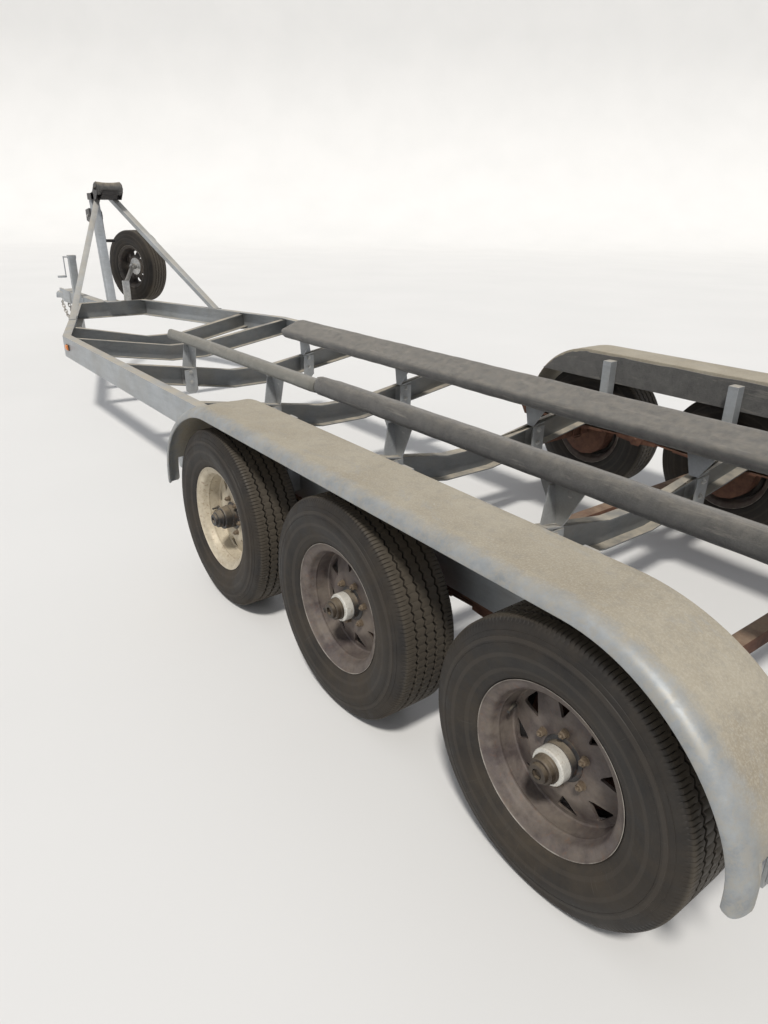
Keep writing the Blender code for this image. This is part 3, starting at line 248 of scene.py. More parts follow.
def tyre_rubber():
    """Dusty rubber: dust in rings on the wall, scuffs and a paler tread. The piece's origin is its centre."""
    paint = Paint("tyre_rubber_look")
    parts = paint.parts()
    radius = paint.radius(parts)
    base = paint.mix(paint.patch(9.0, 6.0, 0.7, 0.35, 0.65), (0.013, 0.0115, 0.0105), (0.028, 0.024, 0.020))
    dust = paint.patch(5.0, 7.0, 0.72, 0.42, 0.70, 0.0, 0.50, warp=0.5)
    near_bead = paint.span(radius, 0.215, 0.30, 0.80, 0.40)
    base = paint.mix(paint.times(dust, near_bead), base, (0.115, 0.088, 0.058))
    wall = paint.times(paint.span(radius, 0.222, 0.232), paint.span(radius, 0.318, 0.325, 1.0, 0.0))
    fine = paint.math("SINE", paint.times(radius, 2600.0))
    zones = paint.math("SINE", paint.times(radius, 165.0))
    zone = paint.times(paint.span(zones, 0.55, 0.8), wall)
    base = paint.mix(paint.times(zone, 0.35), base, (0.060, 0.050, 0.040))
    around = paint.math("ARCTAN2", parts["Z"], parts["X"])
    rays = paint.add("ShaderNodeCombineXYZ", {"X": paint.times(around, 9.0), "Y": radius}).outputs["Vector"]
    pale_marks = paint.patch(3.5, 7.0, 0.8, 0.60, 0.72, 0.0, 0.45, vector=rays, warp=0.4)
    base = paint.mix(paint.times(pale_marks, wall), base, (0.145, 0.135, 0.12))
    scuff_zone = paint.patch(5.0, 2.0, 0.5, 0.54, 0.62)
    scuff = paint.patch(75.0, 6.0, 0.8, 0.685, 0.71, 0.0, 0.8, warp=2.4)
    base = paint.mix(paint.times(scuff, scuff_zone), base, (0.42, 0.40, 0.36))
    tread = paint.span(radius, 0.3530, 0.3590)
    base = paint.mix(paint.times(tread, 0.55), base, (0.105, 0.088, 0.066))
    paint.bump(paint.times(fine, zone), 0.18, 0.0005)
    paint.bump(paint.noise(300.0, 3.0, 0.7), 0.25, 0.0008)
    rough = paint.span(dust, 0.0, 0.5, 0.58, 0.90)
    return paint.use(Base_Color=base, Roughness=rough, Specular_IOR_Level=0.35)


def wheel_paint(name, low, high, rust, dust):
    """Old wheel enamel with rust and dust, and a painted highlight along the flange. The piece's origin is
    its centre.
    """
    paint = Paint(name, metallic=0.15)
    base = paint.mix(paint.patch(24.0, 7.0, 0.72, 0.34, 0.66), low, high)
    spots = paint.patch(52.0, 8.0, 0.8, 0.55, 0.66, 0.0, rust, warp=0.5)
    base = paint.mix(spots, base, (0.16, 0.062, 0.026))
    fine = paint.span(paint.cells(210.0), 0.0, 0.22, 0.5 * rust, 0.0)
    base = paint.mix(fine, base, (0.09, 0.035, 0.018))
    film = paint.patch(11.0, 6.0, 0.7, 0.38, 0.66, 0.0, dust)
    base = paint.mix(film, base, (0.30, 0.255, 0.195))
    radius = paint.radius(paint.parts())
    # A pale ring along the flange: a painted highlight of its lit edge.
    pale_marks = paint.times(paint.span(radius, 0.2078, 0.2092), paint.patch(16.0, 5.0, 0.7, 0.35, 0.6))
    base = paint.mix(paint.times(pale_marks, 0.75), base, (0.46, 0.43, 0.38))
    paint.bump(paint.noise(120.0, 5.0, 0.75), 0.22, 0.0008)
    return paint.use(Base_Color=base, Roughness=paint.span(film, 0.0, 0.5, 0.50, 0.85))


def rough_metal(name, low, high, stain, metallic, shiny, dust_cover, grain):
    """Steel with a worn skin: black paint, rust or plating, by its two tones and its stain."""
    paint = Paint(name, metallic=metallic)
    base = paint.mix(paint.patch(grain, 7.0, 0.72, 0.34, 0.66), low, high)
    spots = paint.patch(grain * 3.1, 8.0, 0.8, 0.54, 0.64, 0.0, 0.75, warp=0.6)
    base = paint.mix(spots, base, stain)
    colour, rough = dusted(paint, base, (0.46, 0.38, 0.27), dust_cover, shiny, 0.93, 0.3, 0.95, 15.0)
    paint.bump(paint.noise(grain * 8.0, 5.0, 0.75), 0.25, 0.001)
    return paint.use(Base_Color=colour, Roughness=rough)


def lens(name, deep, bright):
    """A moulded plastic lens with fine ribs and a film of dust."""
    paint = Paint(name, roughness=0.22)
    wave = paint.add("ShaderNodeTexWave", {"Vector": paint.place(), "Scale": 95.0, "Distortion": 0.4})
    base = paint.mix(wave.outputs["Fac"], deep, bright)
    film = paint.patch(70.0, 6.0, 0.75, 0.45, 0.70, 0.0, 0.45)
    base = paint.mix(film, base, (0.45, 0.36, 0.26))
    paint.bump(wave.outputs["Fac"], 0.4, 0.001)
    return paint.use(Base_Color=base, Roughness=paint.span(film, 0.0, 0.45, 0.20, 0.7), Coat_Weight=0.4)


LOOKS = {
    "galvanised": galvanised("galvanised_look", (0.43, 0.455, 0.475), 0.85),
    # Crossmembers: dark tones that paint the shade on their webs, under real rust and dust; at the bunk posts
    # a paler tint paints sunlight.
    "galvanised_web": galvanised("crossmember_painted_shade_look", (0.20, 0.21, 0.215), 0.95, 0.25),
    "galvanised_posts": galvanised("post_crossmember_painted_light_shade_look", (0.20, 0.21, 0.215), 0.95, 0.25,
                                   (0.50, 0.52, 0.535)),
    "fender_zinc": fender_zinc(),
    "carpet": carpet("carpet_look", (0.030, 0.030, 0.030), (0.085, 0.083, 0.078), 0.55),
    "carpet_olive": carpet("carpet_olive_look", (0.075, 0.075, 0.066), (0.155, 0.152, 0.132), 0.45),
    "tyre_rubber": tyre_rubber(),
    "wheel_paint": wheel_paint("wheel_brown_look", (0.060, 0.046, 0.043), (0.120, 0.099, 0.094), 0.40, 0.35),
    # The spare's rim: darker tones, painted shade over its enamel.
    "wheel_painted_shade": wheel_paint("wheel_shade_look", (0.018, 0.015, 0.014), (0.045, 0.037, 0.034), 0.30, 0.20),
    "wheel_cream": wheel_paint("wheel_cream_look", (0.44, 0.38, 0.28), (0.60, 0.54, 0.42), 0.70, 0.25),
    "amber_lens": lens("amber_lens_look", (0.62, 0.16, 0.015), (0.92, 0.32, 0.04)),
    "red_lens": lens("red_lens_look", (0.34, 0.012, 0.010), (0.62, 0.03, 0.02)),
}

# Worn skins: look, material, dark tone, pale tone, stain, metallic, roughness, dust, grain
ROUGH_METALS = (
    ("shade", "drum_look",
     (0.008, 0.007, 0.006), (0.018, 0.014, 0.011), (0.03, 0.014, 0.008), 0.0, 0.9, 0.0, 18.0),
    ("hub_white", "hub_ring_look",
     (0.50, 0.49, 0.45), (0.68, 0.67, 0.62), (0.30, 0.22, 0.14), 0.0, 0.6, 0.2, 50.0),
    ("lug", "lug_nut_look",
     (0.12, 0.088, 0.060), (0.21, 0.165, 0.115), (0.07, 0.035, 0.02), 0.2, 0.6, 0.0, 60.0),
    ("rusty_steel", "rusty_steel_look",
     (0.075, 0.030, 0.019), (0.165, 0.078, 0.045), (0.045, 0.026, 0.02), 0.1, 0.8, 0.4, 18.0),
    ("black_steel", "black_steel_look",
     (0.018, 0.018, 0.020), (0.045, 0.043, 0.042), (0.11, 0.06, 0.035), 0.2, 0.42, 0.5, 18.0),
    ("zinc", "zinc_look",
     (0.44, 0.44, 0.43), (0.66, 0.66, 0.64), (0.30, 0.22, 0.14), 0.7, 0.34, 0.4, 26.0),
    ("chain_zinc", "chain_look",
     (0.33, 0.32, 0.30), (0.52, 0.50, 0.47), (0.22, 0.12, 0.07), 0.6, 0.42, 0.3, 70.0),
    ("cap_brown", "cap_look",
     (0.030, 0.022, 0.015), (0.070, 0.052, 0.036), (0.02, 0.013, 0.009), 0.2, 0.45, 0.3, 40.0),
    ("roller_rubber", "roller_look",
     (0.05, 0.05, 0.05), (0.11, 0.105, 0.10), (0.20, 0.18, 0.15), 0.0, 0.75, 0.55, 30.0),
    ("strap", "strap_look",
     (0.50, 0.47, 0.40), (0.68, 0.64, 0.55), (0.36, 0.30, 0.22), 0.0, 0.9, 0.3, 45.0),
    ("rubber", "soft_black_look",
     (0.022, 0.022, 0.022), (0.045, 0.043, 0.041), (0.07, 0.06, 0.05), 0.0, 0.6, 0.3, 40.0),
)
for look_name, *look_values in ROUGH_METALS:
    LOOKS[look_name] = rough_metal(*look_values)


# Mesh helpers


def mesh_data(name, mesh):
    """A bmesh as mesh data, with its faces looking outward."""
    bmesh.ops.recalc_face_normals(mesh, faces=mesh.faces)
    data = bpy.data.meshes.new(name)
    mesh.to_mesh(data)
    mesh.free()
    return data


def linked(name, data):
    """A new object in the scene."""
    made = bpy.data.objects.new(name, data)
    scene.collection.objects.link(made)
    return made


def piece(name, mesh, look, body=ROOT, angle=30.0, place=None, turned=None, replaced=()):
    """One named piece made from a bmesh, which rides on a body and stands for the CAD nodes it replaces."""
    data = mesh_data(name, mesh) if isinstance(mesh, bmesh.types.BMesh) else mesh
    if not data.materials:
        data.materials.append(LOOKS[look])
    data.shade_smooth()
    data.set_sharp_from_angle(angle=math.radians(angle))
    made = linked(name, data)
    if turned is not None:
        made.matrix_world = turned
    if place is not None:
        made.location = place
    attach(made, body)
    if replaced:
        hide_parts(*replaced)
    return made


def skin(mesh, rings, closed=True, caps=False):
    """Skin rings of points into faces. Closed joins each ring's ends, caps fill the first and last ring."""
    made = [[mesh.verts.new(point) for point in ring] for ring in rings]
    count = len(made[0])
    for first, second in zip(made, made[1:]):
        for index in range(count if closed else count - 1):
            after = (index + 1) % count
            mesh.faces.new((first[index], first[after], second[after], second[index]))
    if caps:
        mesh.faces.new(made[0])
        mesh.faces.new(list(reversed(made[-1])))
    return made


def lathe(mesh, profile, segments=32, centre=(0.0, 0.0, 0.0), axis=(0.0, 1.0, 0.0), closed=False):
    """Turn a profile of (radius, place along the axis) round an axis. Radius 0 ends close it."""
    axis = Vector(axis).normalized()
    side = axis.orthogonal().normalized()
    other = axis.cross(side)
    centre = Vector(centre)
    rings = []
    for radius, along in profile:
        base = centre + axis * along
        if radius == 0.0:
            rings.append([mesh.verts.new(base)])
            continue
        rings.append([
            mesh.verts.new(base + side * radius * math.cos(angle) + other * radius * math.sin(angle))
            for angle in (math.tau * index / segments for index in range(segments))
        ])
    pairs = list(zip(rings, rings[1:]))
    if closed:
        pairs.append((rings[-1], rings[0]))
    for first, second in pairs:
        for index in range(segments):
            after = (index + 1) % segments
            if len(first) == 1:
                mesh.faces.new((first[0], second[after], second[index]))
            elif len(second) == 1:
                mesh.faces.new((first[index], first[after], second[0]))
            else:
                mesh.faces.new((first[index], first[after], second[after], second[index]))


def tube(mesh, path, radius, segments=10, looped=False, caps=True):
    """A round bar along a path of points."""
    path = [Vector(point) for point in path]
    count = len(path)
    rings = []
    normal = None
    for index, point in enumerate(path):
        before = path[index - 1] if index or looped else point
        after = path[(index + 1) % count] if index < count - 1 or looped else point
        along = (after - before).normalized()
        if normal is None:
            normal = along.orthogonal().normalized()
        normal = (normal - along * normal.dot(along)).normalized()
        other = along.cross(normal)
        rings.append([
            point + normal * radius * math.cos(angle) + other * radius * math.sin(angle)
            for angle in (math.tau * step / segments for step in range(segments))
        ])
    if not looped:
        skin(mesh, rings, caps=caps)
        return
    made = [[mesh.verts.new(point) for point in ring] for ring in rings]
    for first, second in zip(made, made[1:] + made[:1]):
        for step in range(segments):
            after = (step + 1) % segments
            mesh.faces.new((first[step], first[after], second[after], second[step]))


def slab(mesh, low, high, edge=0.001):
    """A box with chamfered upright and level edges."""
    low, high = Vector(low), Vector(high)
    rings = []
    for z, inset in ((low.z, edge), (low.z + edge, 0.0), (high.z - edge, 0.0), (high.z, edge)):
        left, right = low.x + inset, high.x - inset
        front, back = low.y + inset, high.y - inset
        rings.append([
            (left + edge, front, z), (right - edge, front, z),
            (right, front + edge, z), (right, back - edge, z),
            (right - edge, back, z), (left + edge, back, z),
            (left, back - edge, z), (left, front + edge, z),
        ])
    skin(mesh, rings, caps=True)


def bolt(mesh, place, axis, size=0.011, height=0.008, washer=True, stud=0.0):
    """A hex head with a washer under it. Size is half the width across its corners."""
    base = 0.0
    if washer:
        rim = size * 1.25
        lathe(mesh, ((0.0, 0.0), (rim, 0.0), (rim, 0.0018), (0.0, 0.0018)), 16, place, axis)
        base = 0.0016
    top = base + height
    head = ((0.0, base), (size, base), (size, top - 0.0012), (size * 0.86, top), (0.0, top))
    lathe(mesh, head, 6, place, axis)
    if stud:
        shank, end = size * 0.5, top + stud
        lathe(mesh, ((0.0, top), (shank, top), (shank, end), (0.0, end)), 10, place, axis)


def worn_copy(node, look, slot, width, body):
    """A CAD node's shape with its flat faces made whole and its sharp edges rounded off."""
    mesh = bmesh.new()
    mesh.from_mesh(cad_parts[node].data)
    bmesh.ops.remove_doubles(mesh, verts=mesh.verts, dist=0.00002)
    bmesh.ops.dissolve_limit(mesh, angle_limit=math.radians(1.0), verts=mesh.verts, edges=mesh.edges)
    sharp = [edge for edge in mesh.edges
             if len(edge.link_faces) == 2 and edge.calc_face_angle(0.0) > math.radians(35.0)]
    bmesh.ops.bevel(mesh, geom=sharp, offset=width, offset_type="OFFSET", segments=2, profile=0.5,
                    affect="EDGES", clamp_overlap=True)
    piece(node + "_worn", mesh, look, body, 40.0, replaced=(node,))


# CAD nodes kept in shape: start of the name, look, slot, width of the rounded edges, body.
# The first row that fits a node counts.
WORN = (
    ("crossmember_front", "galvanised_web", "galvanised", 0.001, ROOT),
    ("crossmember_bow", "galvanised_web", "galvanised", 0.001, ROOT),
    ("crossmember_bend", "galvanised_web", "galvanised", 0.001, ROOT),
    ("crossmember", "galvanised_posts", "galvanised", 0.001, ROOT),
    ("rail_", "galvanised", "galvanised", 0.0015, ROOT),
    ("tongue", "galvanised", "galvanised", 0.0015, ROOT),
    ("coupler", "galvanised", "galvanised", 0.0015, ROOT),
    ("jack_housing", "galvanised", "galvanised", 0.0015, ROOT),
    ("brace_", "galvanised", "galvanised", 0.0015, ROOT),
    ("winch_post", "galvanised", "galvanised", 0.001, ROOT),
    ("winch", "black_steel", "black_steel", 0.001, ROOT),
    ("axle_", "rusty_steel", "rusty_steel", 0.0008, ROOT),
    ("suspension_", "rusty_steel", "rusty_steel", 0.0008, ROOT),
    ("spare_carrier", "zinc", "zinc", 0.001, ROOT),
    ("jack_leg", "zinc", "zinc", 0.001, "jack_leg"),
)
for node_name in sorted(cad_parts):
    for worn_start, *worn_values in WORN:
        if node_name.startswith(worn_start):
            worn_copy(node_name, *worn_values)
            break


# Wheels

PITCHES = 90              # tread pitches round a tyre
GROOVES = (0.050, 0.0165, -0.0165, -0.050)
GROOVE_HALF = 0.0037
GROOVE_DEPTH = 0.0085
CUT_DEPTH = 0.0032        # short cuts in the ribs and shoulders
RIB_HALF = 0.0605         # outer edges of the outer ribs
SWAY = 0.0034             # zigzag of the grooves
NUTS = 6
NUT_CIRCLE = 0.0699
NUT_TURN = 0.25           # share of the nuts' pitch
WINDOWS = 8


def tyre_columns():
    """Columns across the tyre: (place across, radius, follows the zigzag, depth of the cuts)."""
    wall = [
        (0.0700, 0.1937), (0.0725, 0.1950), (0.0765, 0.2020), (0.0800, 0.2085), (0.0850, 0.2120),
        (0.0890, 0.2155), (0.0915, 0.2205), (0.0945, 0.2300), (0.1010, 0.2440), (0.1065, 0.2600),
        (0.1100, 0.2760), (0.1108, 0.2900), (0.1092, 0.3030), (0.1084, 0.3040), (0.1092, 0.3052),
        (0.1062, 0.3180), (0.1042, 0.3190), (0.1012, 0.3300), (0.0996, 0.3308), (0.0965, 0.3415),
    ]
    shoulder = [(0.0930, 0.3475, 0.5), (0.0890, 0.3535, 1.0), (0.0850, 0.3572, 1.0), (0.0805, 0.3590, 1.0)]
    columns = [(y, r, 0.0, 0.0) for y, r in wall] + [(y, r, 0.0, c) for y, r, c in shoulder]
    columns += [(0.068, 0.3594, 0.0, 1.0), (RIB_HALF, TYRE_RADIUS, 0.4, 0.0)]
    for number, groove in enumerate(GROOVES):
        floor = TYRE_RADIUS - GROOVE_DEPTH
        columns += [
            (groove + GROOVE_HALF, TYRE_RADIUS, 1.0, 0.35), (groove + GROOVE_HALF * 0.55, floor, 1.0, 0.0),
            (groove - GROOVE_HALF * 0.55, floor, 1.0, 0.0), (groove - GROOVE_HALF, TYRE_RADIUS, 1.0, 0.35),
        ]
        if number < len(GROOVES) - 1:
            middle = (groove + GROOVES[number + 1]) / 2.0
            columns += [(middle + 0.005, TYRE_RADIUS, 0.6, 0.55), (middle - 0.005, TYRE_RADIUS, 0.6, 0.0)]
    columns += [(-RIB_HALF, TYRE_RADIUS, 0.4, 0.0), (-0.068, 0.3594, 0.0, 1.0)]
    columns += [(-y, r, 0.0, c) for y, r, c in reversed(shoulder)]
    columns += [(-y, r, 0.0, 0.0) for y, r in reversed(wall)]
    return columns


def tyre_data():
    """The road tyre: ribs between zigzag grooves, with short cuts in the ribs and in the shoulders."""
    columns = tyre_columns()
    mesh = bmesh.new()
    rings = []
    for number in range(PITCHES * 6):
        half, step = divmod(number, 3)
        share = half * 0.5 + (0.0, 0.065, 0.130)[step]
        phase = share % 1.0
        sway = SWAY * (4.0 * abs(phase - 0.5) - 1.0)
        angle = math.tau * share / PITCHES
        depth = CUT_DEPTH if step == 1 else 0.0
        rib_depth = depth if half % 2 == 0 else 0.0
        ring = []
        for across, radius, follows, cut in columns:
            inside = abs(across) < RIB_HALF
            reach = radius - cut * (rib_depth if inside else depth)
            y = across + sway * follows
            ring.append(mesh.verts.new((reach * math.cos(angle), y, reach * math.sin(angle))))
        rings.append(ring)
    for first, second in zip(rings, rings[1:] + rings[:1]):
        for index in range(len(columns)):
            after = (index + 1) % len(columns)
            mesh.faces.new((first[index], second[index], second[after], first[after]))
    return mesh_data("tyre", mesh)


def rim_data(bore):
    """The pressed steel wheel: a rolled flange, a sloping well and a disc with eight triangular windows."""
    profile = (
        (bore, 0.0140), (bore, 0.0205), (bore + 0.004, 0.0220), (0.085, 0.0222), (0.098, 0.0226),
        (0.1060, 0.0215), (0.1120, 0.0185), (0.1480, 0.0085), (0.1560, 0.0050), (0.1630, 0.0028),
        (0.1672, 0.0028), (0.1700, 0.0060), (0.1712, 0.0140), (0.1742, 0.0380), (0.1752, 0.0440),
        (0.1742, 0.0462), (0.1746, 0.0500), (0.1765, 0.0525), (0.1800, 0.0640), (0.1825, 0.0700),
        (0.1852, 0.0735), (0.1900, 0.0762), (0.1970, 0.0790), (0.2040, 0.0818), (0.2075, 0.0845),
        (0.2092, 0.0872), (0.2101, 0.0875), (0.2106, 0.0868), (0.2100, 0.0850), (0.2060, 0.0795),
        (0.1950, 0.0745), (0.1930, 0.0730), (0.1930, -0.0730), (0.1950, -0.0745), (0.2060, -0.0795),
        (0.2100, -0.0850), (0.2106, -0.0868), (0.2090, -0.0875), (0.2040, -0.0835), (0.1900, -0.0765),
        (0.1840, -0.0690), (0.1700, -0.0100), (0.1640, -0.0050), (0.1060, 0.0120), (0.1000, 0.0140),
    )
    mesh = bmesh.new()
    lathe(mesh, profile, 128, closed=True)
    tool = bmesh.new()
    for index in range(WINDOWS):
        angle = math.tau * (index + 0.5) / WINDOWS
        along = Vector((math.cos(angle), 0.0, math.sin(angle)))
        across = Vector((-math.sin(angle), 0.0, math.cos(angle)))
        edge = ((0.1040, 0.0022), (0.1475, 0.0285), (0.1510, 0.0280), (0.1535, 0.0220))
        corners = [along * reach + across * half for reach, half in edge]
        corners += [along * reach - across * half for reach, half in reversed(edge)]
        corners = corners[-1:] + corners[:-1]
        skin(tool, [[c + Vector((0.0, depth, 0.0)) for c in corners] for depth in (-0.05, 0.05)], caps=True)
    body = linked("rim_blank", mesh_data("rim", mesh))
    cutter = linked("rim_windows", mesh_data("windows", tool))
    step = body.modifiers.new("windows", "BOOLEAN")
    step.operation = "DIFFERENCE"
    step.solver = "EXACT"
    step.object = cutter
    bpy.context.view_layer.update()
    cut = bpy.data.meshes.new_from_object(body.evaluated_get(bpy.context.evaluated_depsgraph_get()))
    bpy.data.objects.remove(body)
    bpy.data.objects.remove(cutter)
    return cut


def lug_mesh():
    """Six chamfered nuts on their studs."""
    mesh = bmesh.new()
    for index in range(NUTS):
        angle = math.tau * (index + NUT_TURN) / NUTS
        place = Vector((NUT_CIRCLE * math.cos(angle), 0.0218, NUT_CIRCLE * math.sin(angle)))
        lathe(mesh, ((0.0, 0.0), (0.0118, 0.0), (0.0118, 0.0018), (0.0, 0.0022)), 16, place)
        lathe(mesh, ((0.0, 0.0018), (0.0100, 0.0018), (0.0100, 0.0135), (0.0082, 0.0160), (0.0056, 0.0160),
                     (0.0050, 0.014), (0.0, 0.014)), 6, place)
        stud = ((0.0, 0.014), (0.0046, 0.014), (0.0046, 0.0200), (0.0038, 0.0210), (0.0, 0.0210))
        lathe(mesh, stud, 10, place)
    return mesh


TYRE = tyre_data()
RIM = rim_data(0.047)
SPARE_RIM = rim_data(0.042)


def facing(side, spin):
    """A wheel's turn: its outer face to one side, and some turn about its axis."""
    base = Matrix.Rotation(math.pi if side < 0.0 else 0.0, 4, "X")
    return base @ Matrix.Rotation(math.radians(spin), 4, "Y")


# What is turned on a lathe in each wheel, as (radius, place along the axle)
REGISTER = (
    (0.0225, -0.0285), (0.046, -0.0285), (0.0465, 0.010), (0.0565, 0.0216), (0.0565, 0.0235),
    (0.0510, 0.0262), (0.0465, 0.0270), (0.0458, 0.0300), (0.0458, 0.0440), (0.0440, 0.0455),
    (0.0225, 0.0455),
)
HUB = (
    (0.0, 0.0457), (0.0440, 0.0457), (0.0448, 0.0475), (0.0448, 0.0715), (0.0430, 0.0745), (0.0375, 0.0755),
    (0.0, 0.0755),
)
CAP = (
    (0.0, 0.0757), (0.0355, 0.0757), (0.0355, 0.0820), (0.0335, 0.0845), (0.0325, 0.0955), (0.0300, 0.0985),
    (0.0250, 0.0995), (0.0238, 0.1080), (0.0220, 0.1094), (0.0125, 0.1094),
)
CAP_SOCKET = ((0.0125, 0.1094), (0.0115, 0.1030), (0.0, 0.1030))
DRUM_FACE = (
    (0.0, -0.0352), (0.1480, -0.0352), (0.1500, -0.0372), (0.1690, -0.0372), (0.1690, -0.0405),
    (0.0, -0.0405),
)
VALVE = ((0.0, 0.0), (0.0075, 0.0), (0.0065, 0.0060), (0.0042, 0.0120), (0.0040, 0.0330), (0.0, 0.0340))


def wheel(axle, side_name, spin, paint, hub_look, cap_look):
    """All that turns on one stub: tyre, rim, nuts, hub, cap and valve. The face of its drum stays still."""
    name = "wheel_" + axle + "_" + side_name
    side = SIDES[side_name]
    turned = facing(side, spin)
    centre = row(AXLES[axle], side * WHEEL_Y, TYRE_RADIUS)
    piece(name + "_tread", TYRE.copy(), "tyre_rubber", name, 35.0, centre, turned,
          (name + "_tyre",))
    piece(name + "_disc", RIM.copy(), paint, name, 28.0, centre, turned, (name + "_rim",))
    piece(name + "_lugs", lug_mesh(), "lug", name, 30.0, centre, turned)
    ring = bmesh.new()
    lathe(ring, REGISTER, 48, closed=True)
    piece(name + "_register", ring, "black_steel", name, 30.0, centre, turned)
    barrel = bmesh.new()
    lathe(barrel, HUB, 48)
    piece(name + "_hub", barrel, hub_look, name, 30.0, centre, turned)
    cap = bmesh.new()
    lathe(cap, CAP, 48)
    lathe(cap, CAP_SOCKET, 6)
    piece(name + "_cap", cap, cap_look, name, 30.0, centre, turned)
    drum = bmesh.new()
    lathe(drum, DRUM_FACE, 64)
    drum_name = "drum_face_" + axle + "_" + side_name
    piece(drum_name, drum, "shade", ROOT, 30.0, centre, facing(side, 0.0))
    valve = bmesh.new()
    lathe(valve, VALVE, 14, (0.1680, 0.0120, 0.0), (-0.30, 1.0, 0.0))
    piece(name + "_valve", valve, "rubber", name, 30.0, centre, turned)


# Wheels: axle, side, turn in degrees, paint, look of the hub, look of its cap
WHEELS = (
    ("front", "left", 8.0, "wheel_cream", "black_steel", "black_steel"),
    ("middle", "left", 31.0, "wheel_paint", "hub_white", "cap_brown"),
    ("rear", "left", -14.0, "wheel_paint", "hub_white", "cap_brown"),
    ("front", "right", 20.0, "wheel_paint", "hub_white", "cap_brown"),
    ("middle", "right", 3.0, "wheel_paint", "hub_white", "cap_brown"),
    ("rear", "right", 40.0, "wheel_paint", "hub_white", "cap_brown"),
)
for wheel_row in WHEELS:
    wheel(*wheel_row)


def spare():
    """The spare: tyre, rim and three nuts on its carrier."""
    centre = row(7.220, -0.418, 0.903)
    turned = Matrix.Rotation(math.radians(18.5), 4, "Z") @ Matrix.Rotation(math.radians(25.0), 4, "Y")
    piece("spare_tread", TYRE.copy(), "tyre_rubber", ROOT, 35.0, centre, turned,
          ("spare_tyre",))
    piece("spare_disc", SPARE_RIM, "wheel_painted_shade", ROOT, 28.0, centre, turned, ("spare_rim",))
    nuts = bmesh.new()
    for index in range(0, NUTS, 2):
        angle = math.tau * (index + NUT_TURN) / NUTS
        place = (NUT_CIRCLE * math.cos(angle), 0.0140, NUT_CIRCLE * math.sin(angle))
        bolt(nuts, place, (0.0, -1.0, 0.0), 0.0125, 0.014, stud=0.020)
    piece("spare_nuts", nuts, "zinc", ROOT, 30.0, centre, turned)


spare()


# Fenders

FENDER_OUT = 1.262
FENDER_IN = 1.020
TIP_OUT = 1.285           # outer edge where the sheet flares towards its tips
FENDER_TOP = 0.805
FENDER_TIP_Z = 0.430
FENDER_TIPS = ((-0.465, 0.452, 1.0), (2.109, 0.402, -1.0))  # drawing x, length of the curve, way inward
CURVE_STEPS = 26
LEVEL_STEPS = 24
TIP_STEP = 0.075          # height of the tongue at each tip
TIP_WIDTH = 0.060
TIP_DROP = 0.030          # how far the tongue hangs below the CAD tip
SHOULDER = 0.047
LIP = 0.040
BEAD = 0.0045             # rolled edge of the lip
SHEET = 0.004
SKIRT_BOTTOM = 0.655
FENDER_POST_HALF = 0.025
FENDER_POST_SPREAD = 0.700
BRACKET_OUT = 1.2040      # outer edge of the brackets at the tips
BRACKET_RISE = 0.018      # their top over the tongue


def fender_stations():
    """Stations along the fender's top line: drawing x, z, direction outward, share of the way to the tip."""
    drop = FENDER_TOP - FENDER_TIP_Z
    at_step = math.asin(TIP_STEP / drop)
    angles = [math.radians(90.0) * step / CURVE_STEPS for step in range(CURVE_STEPS + 1)]
    angles = sorted(angles + [at_step - 0.0002, at_step + 0.0002])
    curves = []
    for tip, reach, inward in FENDER_TIPS:
        curve = []
        for angle in angles:
            out = Vector((-inward * math.cos(angle) / reach, 0.0, math.sin(angle) / drop)).normalized()
            x = tip + inward * reach * (1.0 - math.cos(angle))
            curve.append((x, FENDER_TIP_Z + drop * math.sin(angle), out, 1.0 - angle / math.radians(90.0)))
        below = [(tip, FENDER_TIP_Z - TIP_DROP + up, curve[0][2], 1.0) for up in (0.0, 0.002, 0.006, 0.012)]
        curves.append(below + curve)
    rear, front = curves[0], curves[1][::-1]
    level = []
    for step in range(1, LEVEL_STEPS):
        x = rear[-1][0] + (front[0][0] - rear[-1][0]) * step / LEVEL_STEPS
        level.append((x, FENDER_TOP, Vector((0.0, 0.0, 1.0)), 0.0))
    return rear + level + front


def inner_edge(z):
    """Where the sheet starts across the fender: its inner edge, or the edge of the tongue at each tip."""
    if z > FENDER_TIP_Z + TIP_STEP:
        return FENDER_IN
    near = max(0.0, 1.0 - (z - FENDER_TIP_Z + TIP_DROP) / 0.012)
    return TIP_OUT - TIP_WIDTH + 0.008 * near ** 2


def lip_depth(z, share):
    """How far the lip is turned down: less towards the tips, with a rounded end."""
    lean = min(1.0, max(0.0, (share - 0.35) / 0.60))
    near = max(0.0, 1.0 - (z - FENDER_TIP_Z + TIP_DROP) / 0.014)
    return LIP - 0.005 * lean * lean * (3.0 - 2.0 * lean) - 0.010 * near ** 2


def fender_outline(start, outer, depth, wobble):
    """Closed section of the sheet: an inner edge turned down, the shoulder, and a rolled bead at the lip."""
    top = [(start + 0.0005, 0.004), (start + 0.0015, 0.001), (start + 0.004, 0.0)]
    for step in range(1, 6):
        y = start + 0.004 + (outer - SHOULDER - start - 0.004) * step / 6.0
        top.append((y, 0.0008 * math.sin(3.0 * step + wobble)))
    lip = depth - 0.006
    for step in range(9):
        angle = math.radians(90.0) * step / 8.0
        top.append((outer - SHOULDER + SHOULDER * math.sin(angle), lip * (1.0 - math.cos(angle))))
    for step in range(1, 9):
        angle = math.radians(-30.0 * step)
        top.append((outer - BEAD + BEAD * math.cos(angle), lip + 0.0015 - BEAD * math.sin(angle)))
    under = []
    inner = SHOULDER - 0.006 - SHEET
    for step in range(8, -1, -1):
        angle = math.radians(90.0) * step / 8.0
        under.append((outer - SHOULDER + inner * math.sin(angle), lip - (lip - SHEET) * math.cos(angle)))
    under.append((start + 0.004, SHEET))
    return top + under


